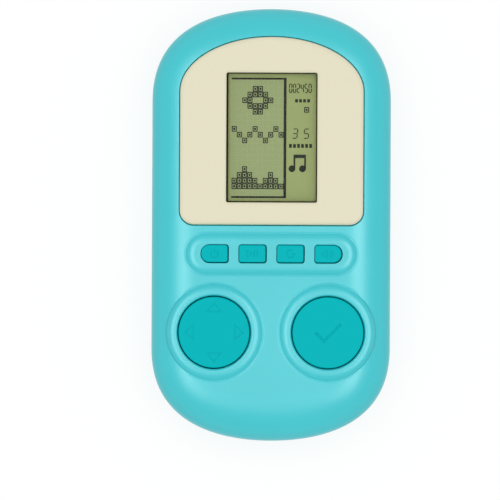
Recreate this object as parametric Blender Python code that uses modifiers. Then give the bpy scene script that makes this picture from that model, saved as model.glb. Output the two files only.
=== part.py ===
"""Handheld LCD game: a two-part moulded case, a screen stack, rubber-domed keys and a battery bay.

Metres throughout. The game lies on its back: z = 0 is the rear face, +Z the front, +Y the top end.
"""
import math

import bpy
import bmesh
from mathutils import Matrix, Vector

MM = 0.001

# Fits
gap = 0.3 * MM                  # between neighbouring pieces
seat = 0.1 * MM                 # under a piece that rests on another
overlap = 1.0 * MM              # how far a joined or cut shape reaches past the face it meets
reach = 200.0 * MM              # size of a box that cuts everything on one side of a plane
flat_end = 0.1 * MM             # straight part left between the two corners of a round end

# Case outline
case_length = 135.0 * MM
case_width = 74.6 * MM
end_rise = 28.8 * MM            # length of each rounded end
end_handle = 15.0 * MM          # how flat the end is at its tip
side_handle = 24.4 * MM         # how straight the end runs into the side
end_steps = 8
wall = 2.0 * MM
front_run = 14.0 * MM           # width of the rounded front edge
rear_run = 11.0 * MM            # width of the rounded rear edge
side_band = 2.0 * MM            # straight part of each side at the parting line
edge_rings = 4
inside_rings = 3
lip_thickness = 0.9 * MM
lip_height = 1.8 * MM

# Battery bay, which sets the case height
battery_diameter = 10.5 * MM
battery_length = 44.5 * MM
battery_nub = 0.8 * MM
battery_nub_radius = 1.9 * MM
battery_edge = 0.6 * MM
battery_play = 0.35 * MM
bay_wall = 1.4 * MM
bay_roof = 1.2 * MM
bay_margin = 17.1 * MM          # bay's lower end to the case's end
contact_thickness = 0.4 * MM
contact_width = 8.6 * MM
contact_tab_width = 2.4 * MM
contact_tab_height = 1.6 * MM
spring_length = 3.2 * MM
spring_wire = 0.3 * MM
spring_turns = 3
door_thickness = 1.6 * MM
door_lift = 0.15 * MM           # the door stays clear of the table
door_margin = 2.4 * MM          # door beyond the bay's inside, each side
door_end_height = 5.0 * MM      # how high the door climbs the rounded end
door_travel = 8.0 * MM
door_tab = 1.0 * MM
door_tab_thickness = 0.8 * MM
door_tab_length = 5.0 * MM
door_tab_spacing = 32.0 * MM
ledge_width = 2.5 * MM
ledge_thickness = 1.2 * MM
grip_count = 5
grip_pitch = 2.2 * MM
grip_length = 14.0 * MM
grip_depth = 0.5 * MM

# Board and key stack, front to rear
front_wall = 1.8 * MM
key_stack = 4.3 * MM            # front wall to board
board_thickness = 1.2 * MM
board_gap = 0.5 * MM

# Screen panel and screen stack
panel_margin = 8.9 * MM         # panel edge to case side
panel_end_margin = 9.24 * MM    # panel's top to the case's end
panel_pad_gap = 2.4 * MM        # between the key pad and the panel
panel_arch = 17.0 * MM
panel_corner = 4.35 * MM
panel_thickness = 1.6 * MM
panel_proud = 0.2 * MM
panel_edge_run = 1.9 * MM
panel_edge_drop = 0.7 * MM
panel_floor = 1.0 * MM
window_width = 28.0 * MM
window_height = 39.8 * MM
window_share = 0.4              # place of the window's middle, as a share of the half length
window_corner = 0.6 * MM
window_rim = 1.2 * MM
window_rim_drop = 0.45 * MM
lens_border = 2.0 * MM
lens_thickness = 0.8 * MM
glass_border = 3.0 * MM
glass_ledge = 2.0 * MM
glass_thickness = 0.7 * MM
film_thickness = 0.2 * MM
film_inset = 0.5 * MM           # film edge to glass edge
film_gap = 0.05 * MM
zebra_width = 1.4 * MM
frame_wall = 1.6 * MM

# Function keys and the pad round them
key_count = 4
key_pitch = 11.73 * MM
key_share = -0.13333            # place of the key row, as a share of the half length
key_width = 8.2 * MM
key_height = 5.3 * MM
key_corner = 0.7 * MM
key_gap = 0.25 * MM
key_flange = 0.9 * MM
key_flange_thickness = 1.0 * MM
key_rise = 0.5 * MM             # above the pad
key_edge = 0.35 * MM
pad_width = 53.0 * MM
pad_height = 12.6 * MM
pad_rise = 0.6 * MM
pad_run = 2.2 * MM

# Round controls
disc_side = 19.7 * MM           # disc centre to case side
disc_share = -0.49407           # place of the disc row, as a share of the half length
disc_radius = 10.9 * MM
disc_gap = 0.4 * MM
disc_rise = 0.15 * MM           # above the collar
disc_edge = 0.45 * MM
disc_skin = 1.5 * MM
disc_flange = 1.3 * MM
disc_flange_thickness = 0.8 * MM
disc_sides = 32
collar_width = 3.6 * MM
collar_rise = 0.9 * MM
collar_flank = 1.9 * MM
collar_lip = 0.8 * MM
collar_root = 3.5 * MM          # how far the collar reaches down the rounded case side
tilt_room = 1.3 * MM            # flange to front wall, so that the disc can rock
pivot_radius = 1.3 * MM
pin_radius = 1.8 * MM
pin_circle = 7.5 * MM
post_radius = 2.4 * MM

# Rubber mats and their contacts
mat_thickness = 0.8 * MM
mat_margin = 1.3 * MM           # mat beyond the disc
mat_corner = 1.0 * MM
dome_skin = 0.55 * MM
dome_base = 3.1 * MM
dome_crown = 2.2 * MM
pill_radius = 1.3 * MM
pill_thickness = 0.45 * MM
dome_sides = 12

# Screws and their bosses
boss_radius = 2.8 * MM
rear_boss_radius = 3.6 * MM
well_radius = 2.8 * MM
well_depth = 7.0 * MM
screw_radius = 1.2 * MM
screw_head_radius = 2.4 * MM
screw_head_height = 1.6 * MM
screw_reach = 7.6 * MM          # thread inside the front boss
screw_sides = 8
slot_width = 0.6 * MM
slot_depth = 0.8 * MM
top_boss = (2.3 * MM, 17.5 * MM)        # clear of the screen frame, and in from the case end
middle_boss = (8.8 * MM, 1.0 * MM)      # in from the case side, and below the key row
bottom_boss = (18.9 * MM, 14.2 * MM)    # in from the case side and from the case end
pilot_play = 0.15 * MM          # screw hole beyond the thread
post_outer = 2.2 * MM
upper_post_drop = 3.0 * MM      # below the window's middle
lower_post = (12.3 * MM, 9.0 * MM)      # in from the case side, and below the key row
board_screw_radius = 0.9 * MM
board_head_radius = 1.9 * MM
board_head_height = 1.1 * MM
board_screw_reach = 2.6 * MM

# Board outline
board_margin = 8.8 * MM         # board edge to case side
board_tongue = 20.5 * MM        # half width of the part behind the screen
board_shoulder_drop = 10.0 * MM # below the top screws
board_upper_margin = 1.4 * MM   # beyond the screen frame
board_lower_margin = 18.0 * MM  # to the case's lower end
board_corner = 3.0 * MM
board_lower_corner = 9.0 * MM

# Sounder and small parts
sounder_offset = 7.0 * MM       # above the window's middle
sounder_radius = 13.5 * MM
sounder_thickness = 0.3 * MM
ceramic_radius = 9.0 * MM
ceramic_thickness = 0.25 * MM
sounder_ledge = 0.8 * MM        # above the inner rear face
sounder_wall = 1.2 * MM
grille_radius = 1.0 * MM
grille_circle = 4.5 * MM
grille_count = 6
blob_radius = 6.0 * MM
blob_height = 1.7 * MM
capacitor_radius = 2.5 * MM
capacitor_height = 5.0 * MM
capacitor_place = (10.5 * MM, -10.0 * MM)   # in from the board's edge, and from the window's middle
chip_size = (3.2 * MM, 1.6 * MM, 0.6 * MM)
resistor_place = (-16.0 * MM, -15.0 * MM)   # from the window's middle
resistor_pitch = 5.0 * MM
wire_radius = 0.55 * MM
wire_straight = 2.0 * MM        # straight run behind each battery tab
wire_landing = 4.0 * MM         # battery tab to the wire's place on the board
sounder_wire_run = 8.0 * MM     # along the case, from the sounder to the board
sounder_wire_bow = 3.0 * MM
wire_sides = 6

# Levels, rear to front
door_top = door_lift + door_thickness
battery_axis = door_top + battery_play + battery_diameter / 2
roof_under = battery_axis + battery_diameter / 2 + battery_play
roof_top = roof_under + bay_roof
board_under = roof_top + board_gap
board_top = board_under + board_thickness
front_inner = board_top + key_stack
front_flat = front_inner + front_wall
parting = front_flat / 2
front_drop = front_flat - parting - side_band
rear_drop = parting - side_band
collar_top = front_flat + collar_rise
disc_top = collar_top + disc_rise
key_top = front_flat + pad_rise + key_rise
panel_face = front_flat + panel_proud
panel_under = panel_face - panel_thickness
floor_top = panel_under - seat
floor_under = floor_top - panel_floor
polariser_top = floor_under - seat
front_glass_top = polariser_top - film_thickness - film_gap
front_glass_under = front_glass_top - glass_thickness
rear_glass_top = front_glass_under - film_gap
rear_glass_under = rear_glass_top - glass_thickness
reflector_top = rear_glass_under - film_gap
mat_top = board_top + mat_thickness
key_flange_top = front_inner - gap
key_flange_under = key_flange_top - key_flange_thickness
tilt_flange_top = front_inner - tilt_room
tilt_flange_under = tilt_flange_top - disc_flange_thickness
tilt_axis = mat_top + 2 * seat + pivot_radius
slot_top = door_top + gap

# Plan positions
half_width = case_width / 2
half_length = case_length / 2
window_middle = window_share * half_length
key_row = key_share * half_length
disc_row = disc_share * half_length
disc_x = half_width - disc_side
panel_half = half_width - panel_margin
panel_top = half_length - panel_end_margin
panel_bottom = key_row + pad_height / 2 + panel_pad_gap
hole_radius = disc_radius + disc_gap
collar_radius = hole_radius + collar_width
flange_radius = disc_radius + disc_flange
pocket_radius = flange_radius + 2 * gap
bay_half = battery_diameter + 2 * battery_play
battery_x = bay_half / 2
bay_length = battery_length + spring_length + 2 * (contact_thickness + gap) + 3 * gap
bay_bottom = bay_margin - half_length
bay_top = bay_bottom + bay_length
door_half = bay_half + door_margin
door_upper = bay_top + bay_wall + ledge_width
glass_half = window_width / 2 + glass_border
front_glass_half = window_height / 2 + glass_border + glass_ledge
rear_glass_half = window_height / 2 + glass_border
frame_half_w = glass_half + gap + frame_wall
frame_half_h = front_glass_half + gap + frame_wall
board_half = half_width - board_margin
board_upper = window_middle + frame_half_h + board_upper_margin
board_shoulder = half_length - top_boss[1] - board_shoulder_drop
board_lower = board_lower_margin - half_length
sounder_row = window_middle + sounder_offset
key_places = [(index - (key_count - 1) / 2) * key_pitch for index in range(key_count)]


def clear_scene():
    for item in list(bpy.data.objects):
        bpy.data.objects.remove(item, do_unlink=True)


def make_collection(name):
    collection = bpy.data.collections.new(name)
    bpy.context.scene.collection.children.link(collection)
    return collection


clear_scene()
pieces = make_collection("handheld_lcd_game")
cutters = make_collection("cutters")


def plastic(name, red, green, blue, roughness, metallic=0.0):
    """Principled material from sRGB bytes."""
    material = bpy.data.materials.new(name)
    material.use_nodes = True
    shader = material.node_tree.nodes["Principled BSDF"]
    linear = [((byte / 255 + 0.055) / 1.055) ** 2.4 for byte in (red, green, blue)]
    shader.inputs["Base Color"].default_value = (*linear, 1.0)
    shader.inputs["Roughness"].default_value = roughness
    shader.inputs["Metallic"].default_value = metallic
    return material


case_plastic = plastic("case_plastic", 95, 212, 221, 0.35)
key_plastic = plastic("key_plastic", 5, 185, 190, 0.4)
panel_plastic = plastic("panel_plastic", 230, 225, 197, 0.4)
lens_plastic = plastic("lens_plastic", 220, 228, 222, 0.08)
lens_plastic.node_tree.nodes["Principled BSDF"].inputs["Transmission Weight"].default_value = 0.95
screen_glass = plastic("screen_glass", 165, 177, 118, 0.25)
reflector_film = plastic("reflector_film", 200, 205, 190, 0.3, 0.6)
frame_plastic = plastic("frame_plastic", 235, 235, 230, 0.5)
zebra_rubber = plastic("zebra_rubber", 70, 70, 78, 0.7)
board_laminate = plastic("board_laminate", 38, 96, 58, 0.5)
chip_epoxy = plastic("chip_epoxy", 20, 20, 22, 0.3)
capacitor_sleeve = plastic("capacitor_sleeve", 24, 30, 60, 0.4)
mat_rubber = plastic("mat_rubber", 205, 208, 205, 0.6)
contact_carbon = plastic("contact_carbon", 32, 32, 34, 0.8)
sounder_brass = plastic("sounder_brass", 196, 160, 84, 0.3, 1.0)
sounder_ceramic = plastic("sounder_ceramic", 226, 222, 208, 0.6)
contact_steel = plastic("contact_steel", 200, 202, 205, 0.3, 1.0)
screw_steel = plastic("screw_steel", 150, 152, 155, 0.35, 1.0)
battery_jacket = plastic("battery_jacket", 60, 64, 72, 0.35, 0.4)
red_wire = plastic("red_wire", 190, 40, 36, 0.5)
black_wire = plastic("black_wire", 28, 28, 30, 0.5)


# Shape helpers

def place(name, mesh):
    """Puts a mesh into the cutters until it is finished as a piece."""
    item = bpy.data.objects.new(name, mesh)
    cutters.objects.link(item)
    item.hide_render = True
    item.display_type = 'WIRE'
    return item


def finish(item, name, material, origin=(0.0, 0.0, 0.0)):
    """Makes a worked shape a named piece with its material and its origin."""
    if item.modifiers:
        weld = item.modifiers.new("weld", 'WELD')
        weld.merge_threshold = 0.003 * MM
    cutters.objects.unlink(item)
    pieces.objects.link(item)
    item.name = name
    item.data.name = name
    item.hide_render = False
    item.display_type = 'TEXTURED'
    item.data.materials.clear()
    item.data.materials.append(material)
    item.data.transform(Matrix.Translation(-Vector(origin)))
    item.location = origin
    return item


def from_bmesh(name, shape):
    mesh = bpy.data.meshes.new(name)
    shape.to_mesh(mesh)
    shape.free()
    return place(name, mesh)


def boxes(name, corners):
    """One mesh of boxes, each given by its low and high corner."""
    shape = bmesh.new()
    for low, high in corners:
        low = Vector(low)
        size = Vector(high) - low
        matrix = Matrix.Translation(low + size / 2) @ Matrix.Diagonal((*size, 1.0))
        bmesh.ops.create_cube(shape, size=1.0, matrix=matrix)
    return from_bmesh(name, shape)


def rods(name, centres, low, high, radius, sides=12, top_radius=None):
    """One mesh of upright rods or cones at the centres, from low to high."""
    shape = bmesh.new()
    for x, y in centres:
        bmesh.ops.create_cone(
            shape,
            cap_ends=True,
            segments=sides,
            radius1=radius,
            radius2=radius if top_radius is None else top_radius,
            depth=high - low,
            matrix=Matrix.Translation((x, y, (low + high) / 2)),
        )
    return from_bmesh(name, shape)


def curve_mesh(name, curve):
    """The curve's surface as a welded mesh."""
    holder = bpy.data.objects.new(name, curve)
    cutters.objects.link(holder)
    bpy.context.view_layer.update()
    solved = holder.evaluated_get(bpy.context.evaluated_depsgraph_get())
    mesh = bpy.data.meshes.new_from_object(solved)
    bpy.data.objects.remove(holder, do_unlink=True)
    bpy.data.curves.remove(curve)
    shape = bmesh.new()
    shape.from_mesh(mesh)
    bmesh.ops.remove_doubles(shape, verts=shape.verts, dist=0.001 * MM)
    bmesh.ops.recalc_face_normals(shape, faces=shape.faces)
    shape.to_mesh(mesh)
    shape.free()
    mesh.name = name
    return mesh


def slab(name, outline, low, high, inset=0.0, run=0.0, drop=0.0, rings=edge_rings):
    """A slab over a closed outline, both rims rounded by run across and drop along z."""
    stretch = drop / run if run else 1.0
    curve = bpy.data.curves.new(name, 'CURVE')
    curve.dimensions = '2D'
    curve.fill_mode = 'BOTH'
    curve.extrude = ((high - low) / 2 - drop) / stretch
    curve.bevel_depth = run
    curve.bevel_resolution = rings - 1
    curve.offset = -(inset + run)
    spline = curve.splines.new('POLY')
    spline.points.add(len(outline) - 1)
    for point, (x, y) in zip(spline.points, outline):
        point.co = (x, y, 0.0, 1.0)
    spline.use_cyclic_u = True
    mesh = curve_mesh(name, curve)
    mesh.transform(Matrix.Diagonal((1.0, 1.0, stretch, 1.0)))
    mesh.transform(Matrix.Translation((0.0, 0.0, (low + high) / 2)))
    return place(name, mesh)


def turned(name, profile, x, y, steps=disc_sides):
    """A shape turned about the upright line through x, y; the profile runs top to bottom."""
    mesh = bpy.data.meshes.new(name)
    edges = [(index, index + 1) for index in range(len(profile) - 1)]
    mesh.from_pydata([(radius, 0.0, z) for radius, z in profile], edges, [])
    item = place(name, mesh)
    screw = item.modifiers.new("turn", 'SCREW')
    screw.axis = 'Z'
    screw.angle = math.tau
    screw.steps = steps
    screw.render_steps = steps
    screw.use_merge_vertices = True
    screw.merge_threshold = 0.01 * MM
    screw.use_normal_calculate = True
    bpy.context.view_layer.update()
    solved = item.evaluated_get(bpy.context.evaluated_depsgraph_get())
    result = bpy.data.meshes.new_from_object(solved)
    result.transform(Matrix.Translation((x, y, 0.0)))
    bpy.data.objects.remove(item, do_unlink=True)
    shape = bmesh.new()
    shape.from_mesh(result)
    bmesh.ops.remove_doubles(shape, verts=shape.verts, dist=0.001 * MM)
    bmesh.ops.recalc_face_normals(shape, faces=shape.faces)
    shape.to_mesh(result)
    shape.free()
    return place(name, result)


def tube(name, path, radius, sides=wire_sides):
    """A capped round tube along points."""
    curve = bpy.data.curves.new(name, 'CURVE')
    curve.dimensions = '3D'
    curve.bevel_depth = radius
    curve.bevel_resolution = sides // 2 - 2
    curve.use_fill_caps = True
    spline = curve.splines.new('POLY')
    spline.points.add(len(path) - 1)
    for point, co in zip(spline.points, path):
        point.co = (*co, 1.0)
    return place(name, curve_mesh(name, curve))


def combine(target, operation, others):
    for other in others:
        step = target.modifiers.new(operation.lower(), 'BOOLEAN')
        step.operation = operation
        step.solver = 'EXACT'
        step.object = other
    return target


def add(target, *others):
    return combine(target, 'UNION', others)


def cut(target, *others):
    return combine(target, 'DIFFERENCE', others)


def keep(target, *others):
    return combine(target, 'INTERSECT', others)


def soften(item, width, segments=1):
    """Rounds the edges between a piece's flat faces."""
    bevel = item.modifiers.new("soften", 'BEVEL')
    bevel.width = width
    bevel.segments = segments
    bevel.limit_method = 'ANGLE'
    bevel.angle_limit = math.radians(50)
    return item


# Outlines

def arc(centre, radius, start, end, steps):
    """Points on an arc, angles in degrees, both ends included."""
    cx, cy = centre
    angles = [math.radians(start + (end - start) * step / steps) for step in range(steps + 1)]
    return [(cx + radius * math.cos(a), cy + radius * math.sin(a)) for a in angles]


def rounded_box(x, y, width, height, corner, steps=3):
    """Rounded rectangle about x, y; corner is one radius, or left and right radii."""
    left, right = corner if isinstance(corner, tuple) else (corner, corner)
    half_w = width / 2
    half_h = height / 2
    points = arc((x + half_w - right, y + half_h - right), right, 90, 0, steps)
    points += arc((x + half_w - right, y - half_h + right), right, 0, -90, steps)
    points += arc((x - half_w + left, y - half_h + left), left, 270, 180, steps)
    points += arc((x - half_w + left, y + half_h - left), left, 180, 90, steps)
    return [point for index, point in enumerate(points) if distinct(point, points[index - 1])]


def distinct(first, second):
    return math.dist(first, second) > 0.001 * MM


def case_outline():
    """Straight sides with a long rounded end at top and bottom."""
    shoulder = half_length - end_rise
    start = Vector((0.0, half_length))
    leave = Vector((end_handle, half_length))
    arrive = Vector((half_width, shoulder + side_handle))
    end = Vector((half_width, shoulder))
    quarter = []
    for step in range(end_steps + 1):
        t = step / end_steps
        point = (1 - t) ** 3 * start + 3 * (1 - t) ** 2 * t * leave + 3 * (1 - t) * t ** 2 * arrive + t ** 3 * end
        quarter.append((point.x, point.y))
    right = quarter + [(x, -y) for x, y in reversed(quarter)]
    return right + [(-x, y) for x, y in reversed(right[1:-1])]


def panel_outline():
    """Flat bottom with rounded corners, straight sides and an elliptic arch on top."""
    spring_line = panel_top - panel_arch
    arch = [(x * panel_half, spring_line + y * panel_arch) for x, y in arc((0.0, 0.0), 1.0, 180, 0, 24)]
    inner = panel_half - panel_corner
    low = panel_bottom + panel_corner
    return arch + arc((inner, low), panel_corner, 0, -90, 4) + arc((-inner, low), panel_corner, 270, 180, 4)


def board_outline():
    """Wide behind the keys, narrow behind the screen."""
    corner = board_corner
    lower = board_lower_corner
    right = arc((board_tongue - corner, board_upper - corner), corner, 90, 0, 2)
    right += [(board_tongue, board_shoulder)]
    right += arc((board_half - corner, board_shoulder - corner), corner, 90, 0, 2)
    right += arc((board_half - lower, board_lower + lower), lower, 0, -90, 4)
    return right + [(-x, y) for x, y in reversed(right)]


def key_outline(index, grow):
    """End keys have a round outer end; grow widens the outline all round."""
    half = key_height / 2
    left = half if index == 0 else key_corner
    right = half if index == key_count - 1 else key_corner
    corner = (left + grow - flat_end, right + grow - flat_end)
    return rounded_box(key_places[index], key_row, key_width + 2 * grow, key_height + 2 * grow, corner, 3)


def both_sides(from_side, y):
    return [(half_width - from_side, y), (from_side - half_width, y)]


def boss_places():
    beside_frame = frame_half_w + top_boss[0] + boss_radius
    top = both_sides(half_width - beside_frame, half_length - top_boss[1])
    middle = both_sides(middle_boss[0], key_row - middle_boss[1])
    bottom = both_sides(bottom_boss[0], bottom_boss[1] - half_length)
    return top + middle + bottom


def post_places():
    beside_frame = (frame_half_w + board_half) / 2
    upper = both_sides(half_width - beside_frame, window_middle - upper_post_drop)
    return upper + both_sides(lower_post[0], key_row - lower_post[1])


# Case

def half_space(low, high):
    """A box that covers every x and y between two heights."""
    return boxes("half_space", [((-reach, -reach, low), (reach, reach, high))])


def collar(side):
    """Low round-topped collar about a disc, with roots that reach down the case side."""
    crest = hole_radius + collar_width - collar_flank
    root = front_flat - collar_root
    foot = front_flat - seat
    flank = [
        (crest + collar_flank * math.sin(turn), foot + (collar_top - foot) * math.cos(turn))
        for turn in [math.radians(22.5 * step) for step in range(1, 5)]
    ]
    profile = [(0.0, collar_top), (crest, collar_top)] + flank + [(collar_radius, root), (0.0, root)]
    return turned("collar", profile, side * disc_x, disc_row)


def disc_hole(side):
    """Cutter for a disc's hole, flared at the top so that the collar gets a rounded lip."""
    flare = [
        (hole_radius + collar_lip * (1 - math.sin(turn)), collar_top - collar_lip * (1 - math.cos(turn)))
        for turn in [math.radians(45 * step) for step in range(3)]
    ]
    top = collar_top + overlap
    profile = [(0.0, top), (flare[0][0], top)] + flare + [(hole_radius, board_top), (0.0, board_top)]
    return turned("disc_hole", profile, side * disc_x, disc_row)


def frame_box(name, grow, low, high):
    """A box over the screen frame's outside, larger by grow all round."""
    half_w = frame_half_w + grow
    half_h = frame_half_h + grow
    return boxes(name, [((-half_w, window_middle - half_h, low), (half_w, window_middle + half_h, high))])


def front_shell():
    outline = case_outline()
    floor = panel_under + seat
    shell = slab("front_shell", outline, 2 * parting - front_flat, front_flat, 0.0, front_run, front_drop)
    add(shell, collar(-1), collar(1))
    capsule = rounded_box(0.0, key_row, pad_width, pad_height, pad_height / 2 - flat_end, 6)
    pad_drop = pad_rise + seat
    add(shell, slab("key_pad", capsule, front_inner - gap, front_flat + pad_rise, 0.0, pad_run, pad_drop, inside_rings))
    inner_drop = front_inner - parting - side_band / 2
    inside = slab("front_inside", outline, 2 * parting - front_inner, front_inner, wall, front_run - wall, inner_drop, inside_rings)
    cut(shell, inside, half_space(-reach, parting + gap / 2))
    relief = slab("lip_relief", outline, -overlap, parting + lip_height + 2 * gap, wall - lip_thickness - gap)
    cut(shell, relief)
    rim = panel_edge_run
    add(shell, slab("panel_floor", panel_outline(), floor_under, floor, -rim))
    cut(shell, slab("panel_recess", panel_outline(), floor_top, front_flat + overlap, -gap))
    lens_w = window_width + 2 * lens_border + 2 * gap
    lens_h = window_height + 2 * lens_border + 2 * gap
    opening = rounded_box(0.0, window_middle, lens_w, lens_h, gap)
    cut(shell, slab("screen_opening", opening, floor_under - overlap, front_flat))
    for index in range(key_count):
        cut(shell, slab("key_hole", key_outline(index, key_gap), board_top, key_top))
    discs = [(-disc_x, disc_row), (disc_x, disc_row)]
    cut(shell, rods("disc_pocket", discs, board_under, front_inner, pocket_radius, disc_sides))
    cut(shell, frame_box("frame_pocket", gap, board_under, front_glass_top + gap))
    cut(shell, disc_hole(-1), disc_hole(1))
    boss_top = front_inner - seat
    bosses = rods("front_boss", boss_places(), parting, boss_top, boss_radius)
    half_wall = wall / 2
    low = 2 * parting - front_flat + half_wall
    high = front_flat - half_wall
    keep(bosses, slab("front_limit", outline, low, high, half_wall, front_run - half_wall, front_drop - half_wall))
    add(shell, bosses)
    add(shell, rods("board_post", post_places(), board_top + seat, boss_top, post_outer, 12))
    pilot = screw_radius + pilot_play
    depth = parting + screw_reach + gap
    cut(shell, rods("boss_pilot", boss_places(), parting - overlap, depth, pilot, screw_sides))
    post_pilot = board_screw_radius + pilot_play
    depth = board_top + board_screw_reach + gap
    cut(shell, rods("post_pilot", post_places(), board_top - overlap, depth, post_pilot, screw_sides))
    return finish(shell, "front_shell", case_plastic)


def tab_rows():
    """Middle of each door tab, along y."""
    middle = (bay_top + bay_bottom) / 2
    return [middle - door_tab_spacing / 2, middle + door_tab_spacing / 2]


def tab_pockets():
    """Undercut for each tab, open to the rear where the tab leaves it."""
    low_lip = door_top - door_tab_thickness - gap
    half = door_tab_length / 2 + gap
    corners = []
    for side in (-1, 1):
        inner = side * (door_half - overlap)
        outer = side * (door_half + door_tab + gap)
        left, right = min(inner, outer), max(inner, outer)
        for row in tab_rows():
            corners.append(((left, row - half - door_travel, low_lip), (right, row + half, slot_top)))
    return boxes("tab_pocket", corners)


def tab_exits():
    half = door_tab_length / 2 + gap
    corners = []
    for side in (-1, 1):
        inner = side * (door_half - overlap)
        outer = side * (door_half + door_tab + gap)
        left, right = min(inner, outer), max(inner, outer)
        for row in tab_rows():
            out = row - door_travel
            corners.append(((left, out - half, -overlap), (right, out + half, slot_top - seat)))
    return boxes("tab_exit", corners)


def bay_block():
    """Walls and roof of the battery bay with the ledge that rides over the door."""
    side = bay_half + bay_wall
    upper = bay_top + bay_wall
    lower = bay_bottom - bay_wall
    ledge = door_half + ledge_width
    ledge_upper = door_upper + ledge_width
    ledge_lower = lower - ledge_width
    block = boxes("bay_block", [((-side, lower, wall - gap), (side, upper, roof_top))])
    plate = ((-ledge, ledge_lower, wall - gap), (ledge, ledge_upper, slot_top + ledge_thickness))
    return add(block, boxes("bay_ledge", [plate]))


def contact_slots():
    """Openings in the bay's upper wall for the two solder tabs."""
    half = contact_tab_width / 2 + gap
    low = battery_axis + contact_tab_height - gap
    high = low + contact_tab_height + 2 * gap
    corners = []
    for x in (-battery_x, battery_x):
        corners.append(((x - half, bay_top - overlap, low), (x + half, bay_top + bay_wall + overlap, high)))
    return boxes("contact_slot", corners)


def sounder_seat():
    """Ring wall with an inner ledge that carries the sounder by its rim."""
    outer = sounder_radius + gap + sounder_wall
    ledge = wall + sounder_ledge
    high = ledge + 3 * sounder_thickness
    inner = sounder_radius + gap
    rest = sounder_radius - sounder_wall
    low = wall - gap
    profile = [(inner, high), (outer, high), (outer, low), (rest, low), (rest, ledge), (inner, ledge), (inner, high)]
    return turned("sounder_seat", profile, 0.0, sounder_row, 32)


def grille_places():
    ring = arc((0.0, sounder_row), grille_circle, 0, 360, grille_count)[:-1]
    return [(0.0, sounder_row)] + ring


def rear_shell():
    outline = case_outline()
    shell = slab("rear_shell", outline, 0.0, 2 * parting, 0.0, rear_run, rear_drop)
    inner_drop = parting - wall - side_band / 2
    inside = slab("rear_inside", outline, wall, 2 * parting - wall, wall, rear_run - wall, inner_drop, inside_rings)
    cut(shell, inside, half_space(parting - gap / 2, reach))
    lip = slab("case_lip", outline, parting - overlap, parting + lip_height, wall - lip_thickness)
    cut(lip, slab("lip_inside", outline, parting - 2 * overlap, parting + 2 * lip_height, wall))
    add(shell, lip, bay_block(), sounder_seat())
    boss_top = parting - gap / 2
    bosses = rods("rear_boss", boss_places(), wall - gap, boss_top, rear_boss_radius)
    half_wall = wall / 2
    high = 2 * parting - half_wall
    keep(bosses, slab("rear_limit", outline, half_wall, high, half_wall, rear_run - half_wall, rear_drop - half_wall))
    add(shell, bosses)
    cut(shell, rods("screw_well", boss_places(), -overlap, well_depth, well_radius))
    clear = screw_radius + gap
    cut(shell, rods("screw_hole", boss_places(), well_depth - overlap, parting + overlap, clear, screw_sides))
    bay = ((-bay_half, bay_bottom, slot_top - overlap), (bay_half, bay_top, roof_under))
    cut(shell, boxes("bay_inside", [bay]))
    slot = door_half + gap
    cut(shell, boxes("door_slot", [((-slot, -reach, -overlap), (slot, door_upper + gap, slot_top))]))
    end_lower = bay_bottom - bay_wall - ledge_width
    opening = ((-slot, -reach, -2 * overlap), (slot, end_lower - overlap, door_end_height + gap))
    cut(shell, boxes("door_end", [opening]), tab_pockets(), tab_exits(), contact_slots())
    cut(shell, rods("grille", grille_places(), -overlap, wall + overlap, grille_radius, screw_sides))
    return finish(shell, "rear_shell", case_plastic)


def battery_door():
    """A piece of the rear skin that slides down off its tabs."""
    outline = case_outline()
    depth = door_lift + door_thickness
    run = rear_run - door_lift
    drop = rear_drop - door_lift
    door = slab("battery_door", outline, door_lift, 2 * parting - door_lift, door_lift, run, drop)
    inner_run = rear_run - depth
    inner_drop = rear_drop - depth
    inside = slab("door_inside", outline, depth, 2 * parting - depth, depth, inner_run, inner_drop)
    cut(door, inside)
    window = ((-door_half, -reach, -overlap), (door_half, door_upper, door_end_height))
    keep(door, boxes("door_window", [window]))
    half = door_tab_length / 2
    tab = door_half + door_tab
    low = door_top - door_tab_thickness
    inner = door_half - overlap
    tabs = []
    for row in tab_rows():
        tabs.append(((inner, row - half, low), (tab, row + half, door_top)))
        tabs.append(((-tab, row - half, low), (-inner, row + half, door_top)))
    add(door, boxes("door_tabs", tabs))
    grip = grip_length / 2
    bottom = bay_bottom + grip_pitch
    grooves = []
    for index in range(grip_count):
        row = bottom + index * grip_pitch
        grooves.append(((-grip, row, -overlap), (grip, row + grip_pitch / 2, door_lift + grip_depth)))
    cut(door, boxes("door_grip", grooves))
    return finish(door, "battery_door", case_plastic)


# Screen

def screen_panel():
    """Cream panel with rounded outer edge and a bevelled window."""
    low = panel_under - panel_thickness
    panel = slab("screen_panel", panel_outline(), low, panel_face, gap, panel_edge_run, panel_edge_drop, 3)
    cut(panel, half_space(-reach, panel_under))
    window = rounded_box(0.0, window_middle, window_width, window_height, window_corner)
    cut(panel, slab("window", window, panel_under - overlap, panel_face + overlap))
    rim_low = panel_face - window_rim_drop
    rim_high = panel_face + 3 * overlap
    cut(panel, slab("window_rim", window, rim_low, rim_high, -window_rim, window_rim, window_rim_drop, 1))
    return finish(panel, "screen_panel", panel_plastic)


def plate(name, half_w, half_h, top, thickness, material):
    """A rectangular sheet centred behind the window."""
    low = (-half_w, window_middle - half_h, top - thickness)
    high = (half_w, window_middle + half_h, top)
    return finish(boxes(name, [(low, high)]), name, material)


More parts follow.
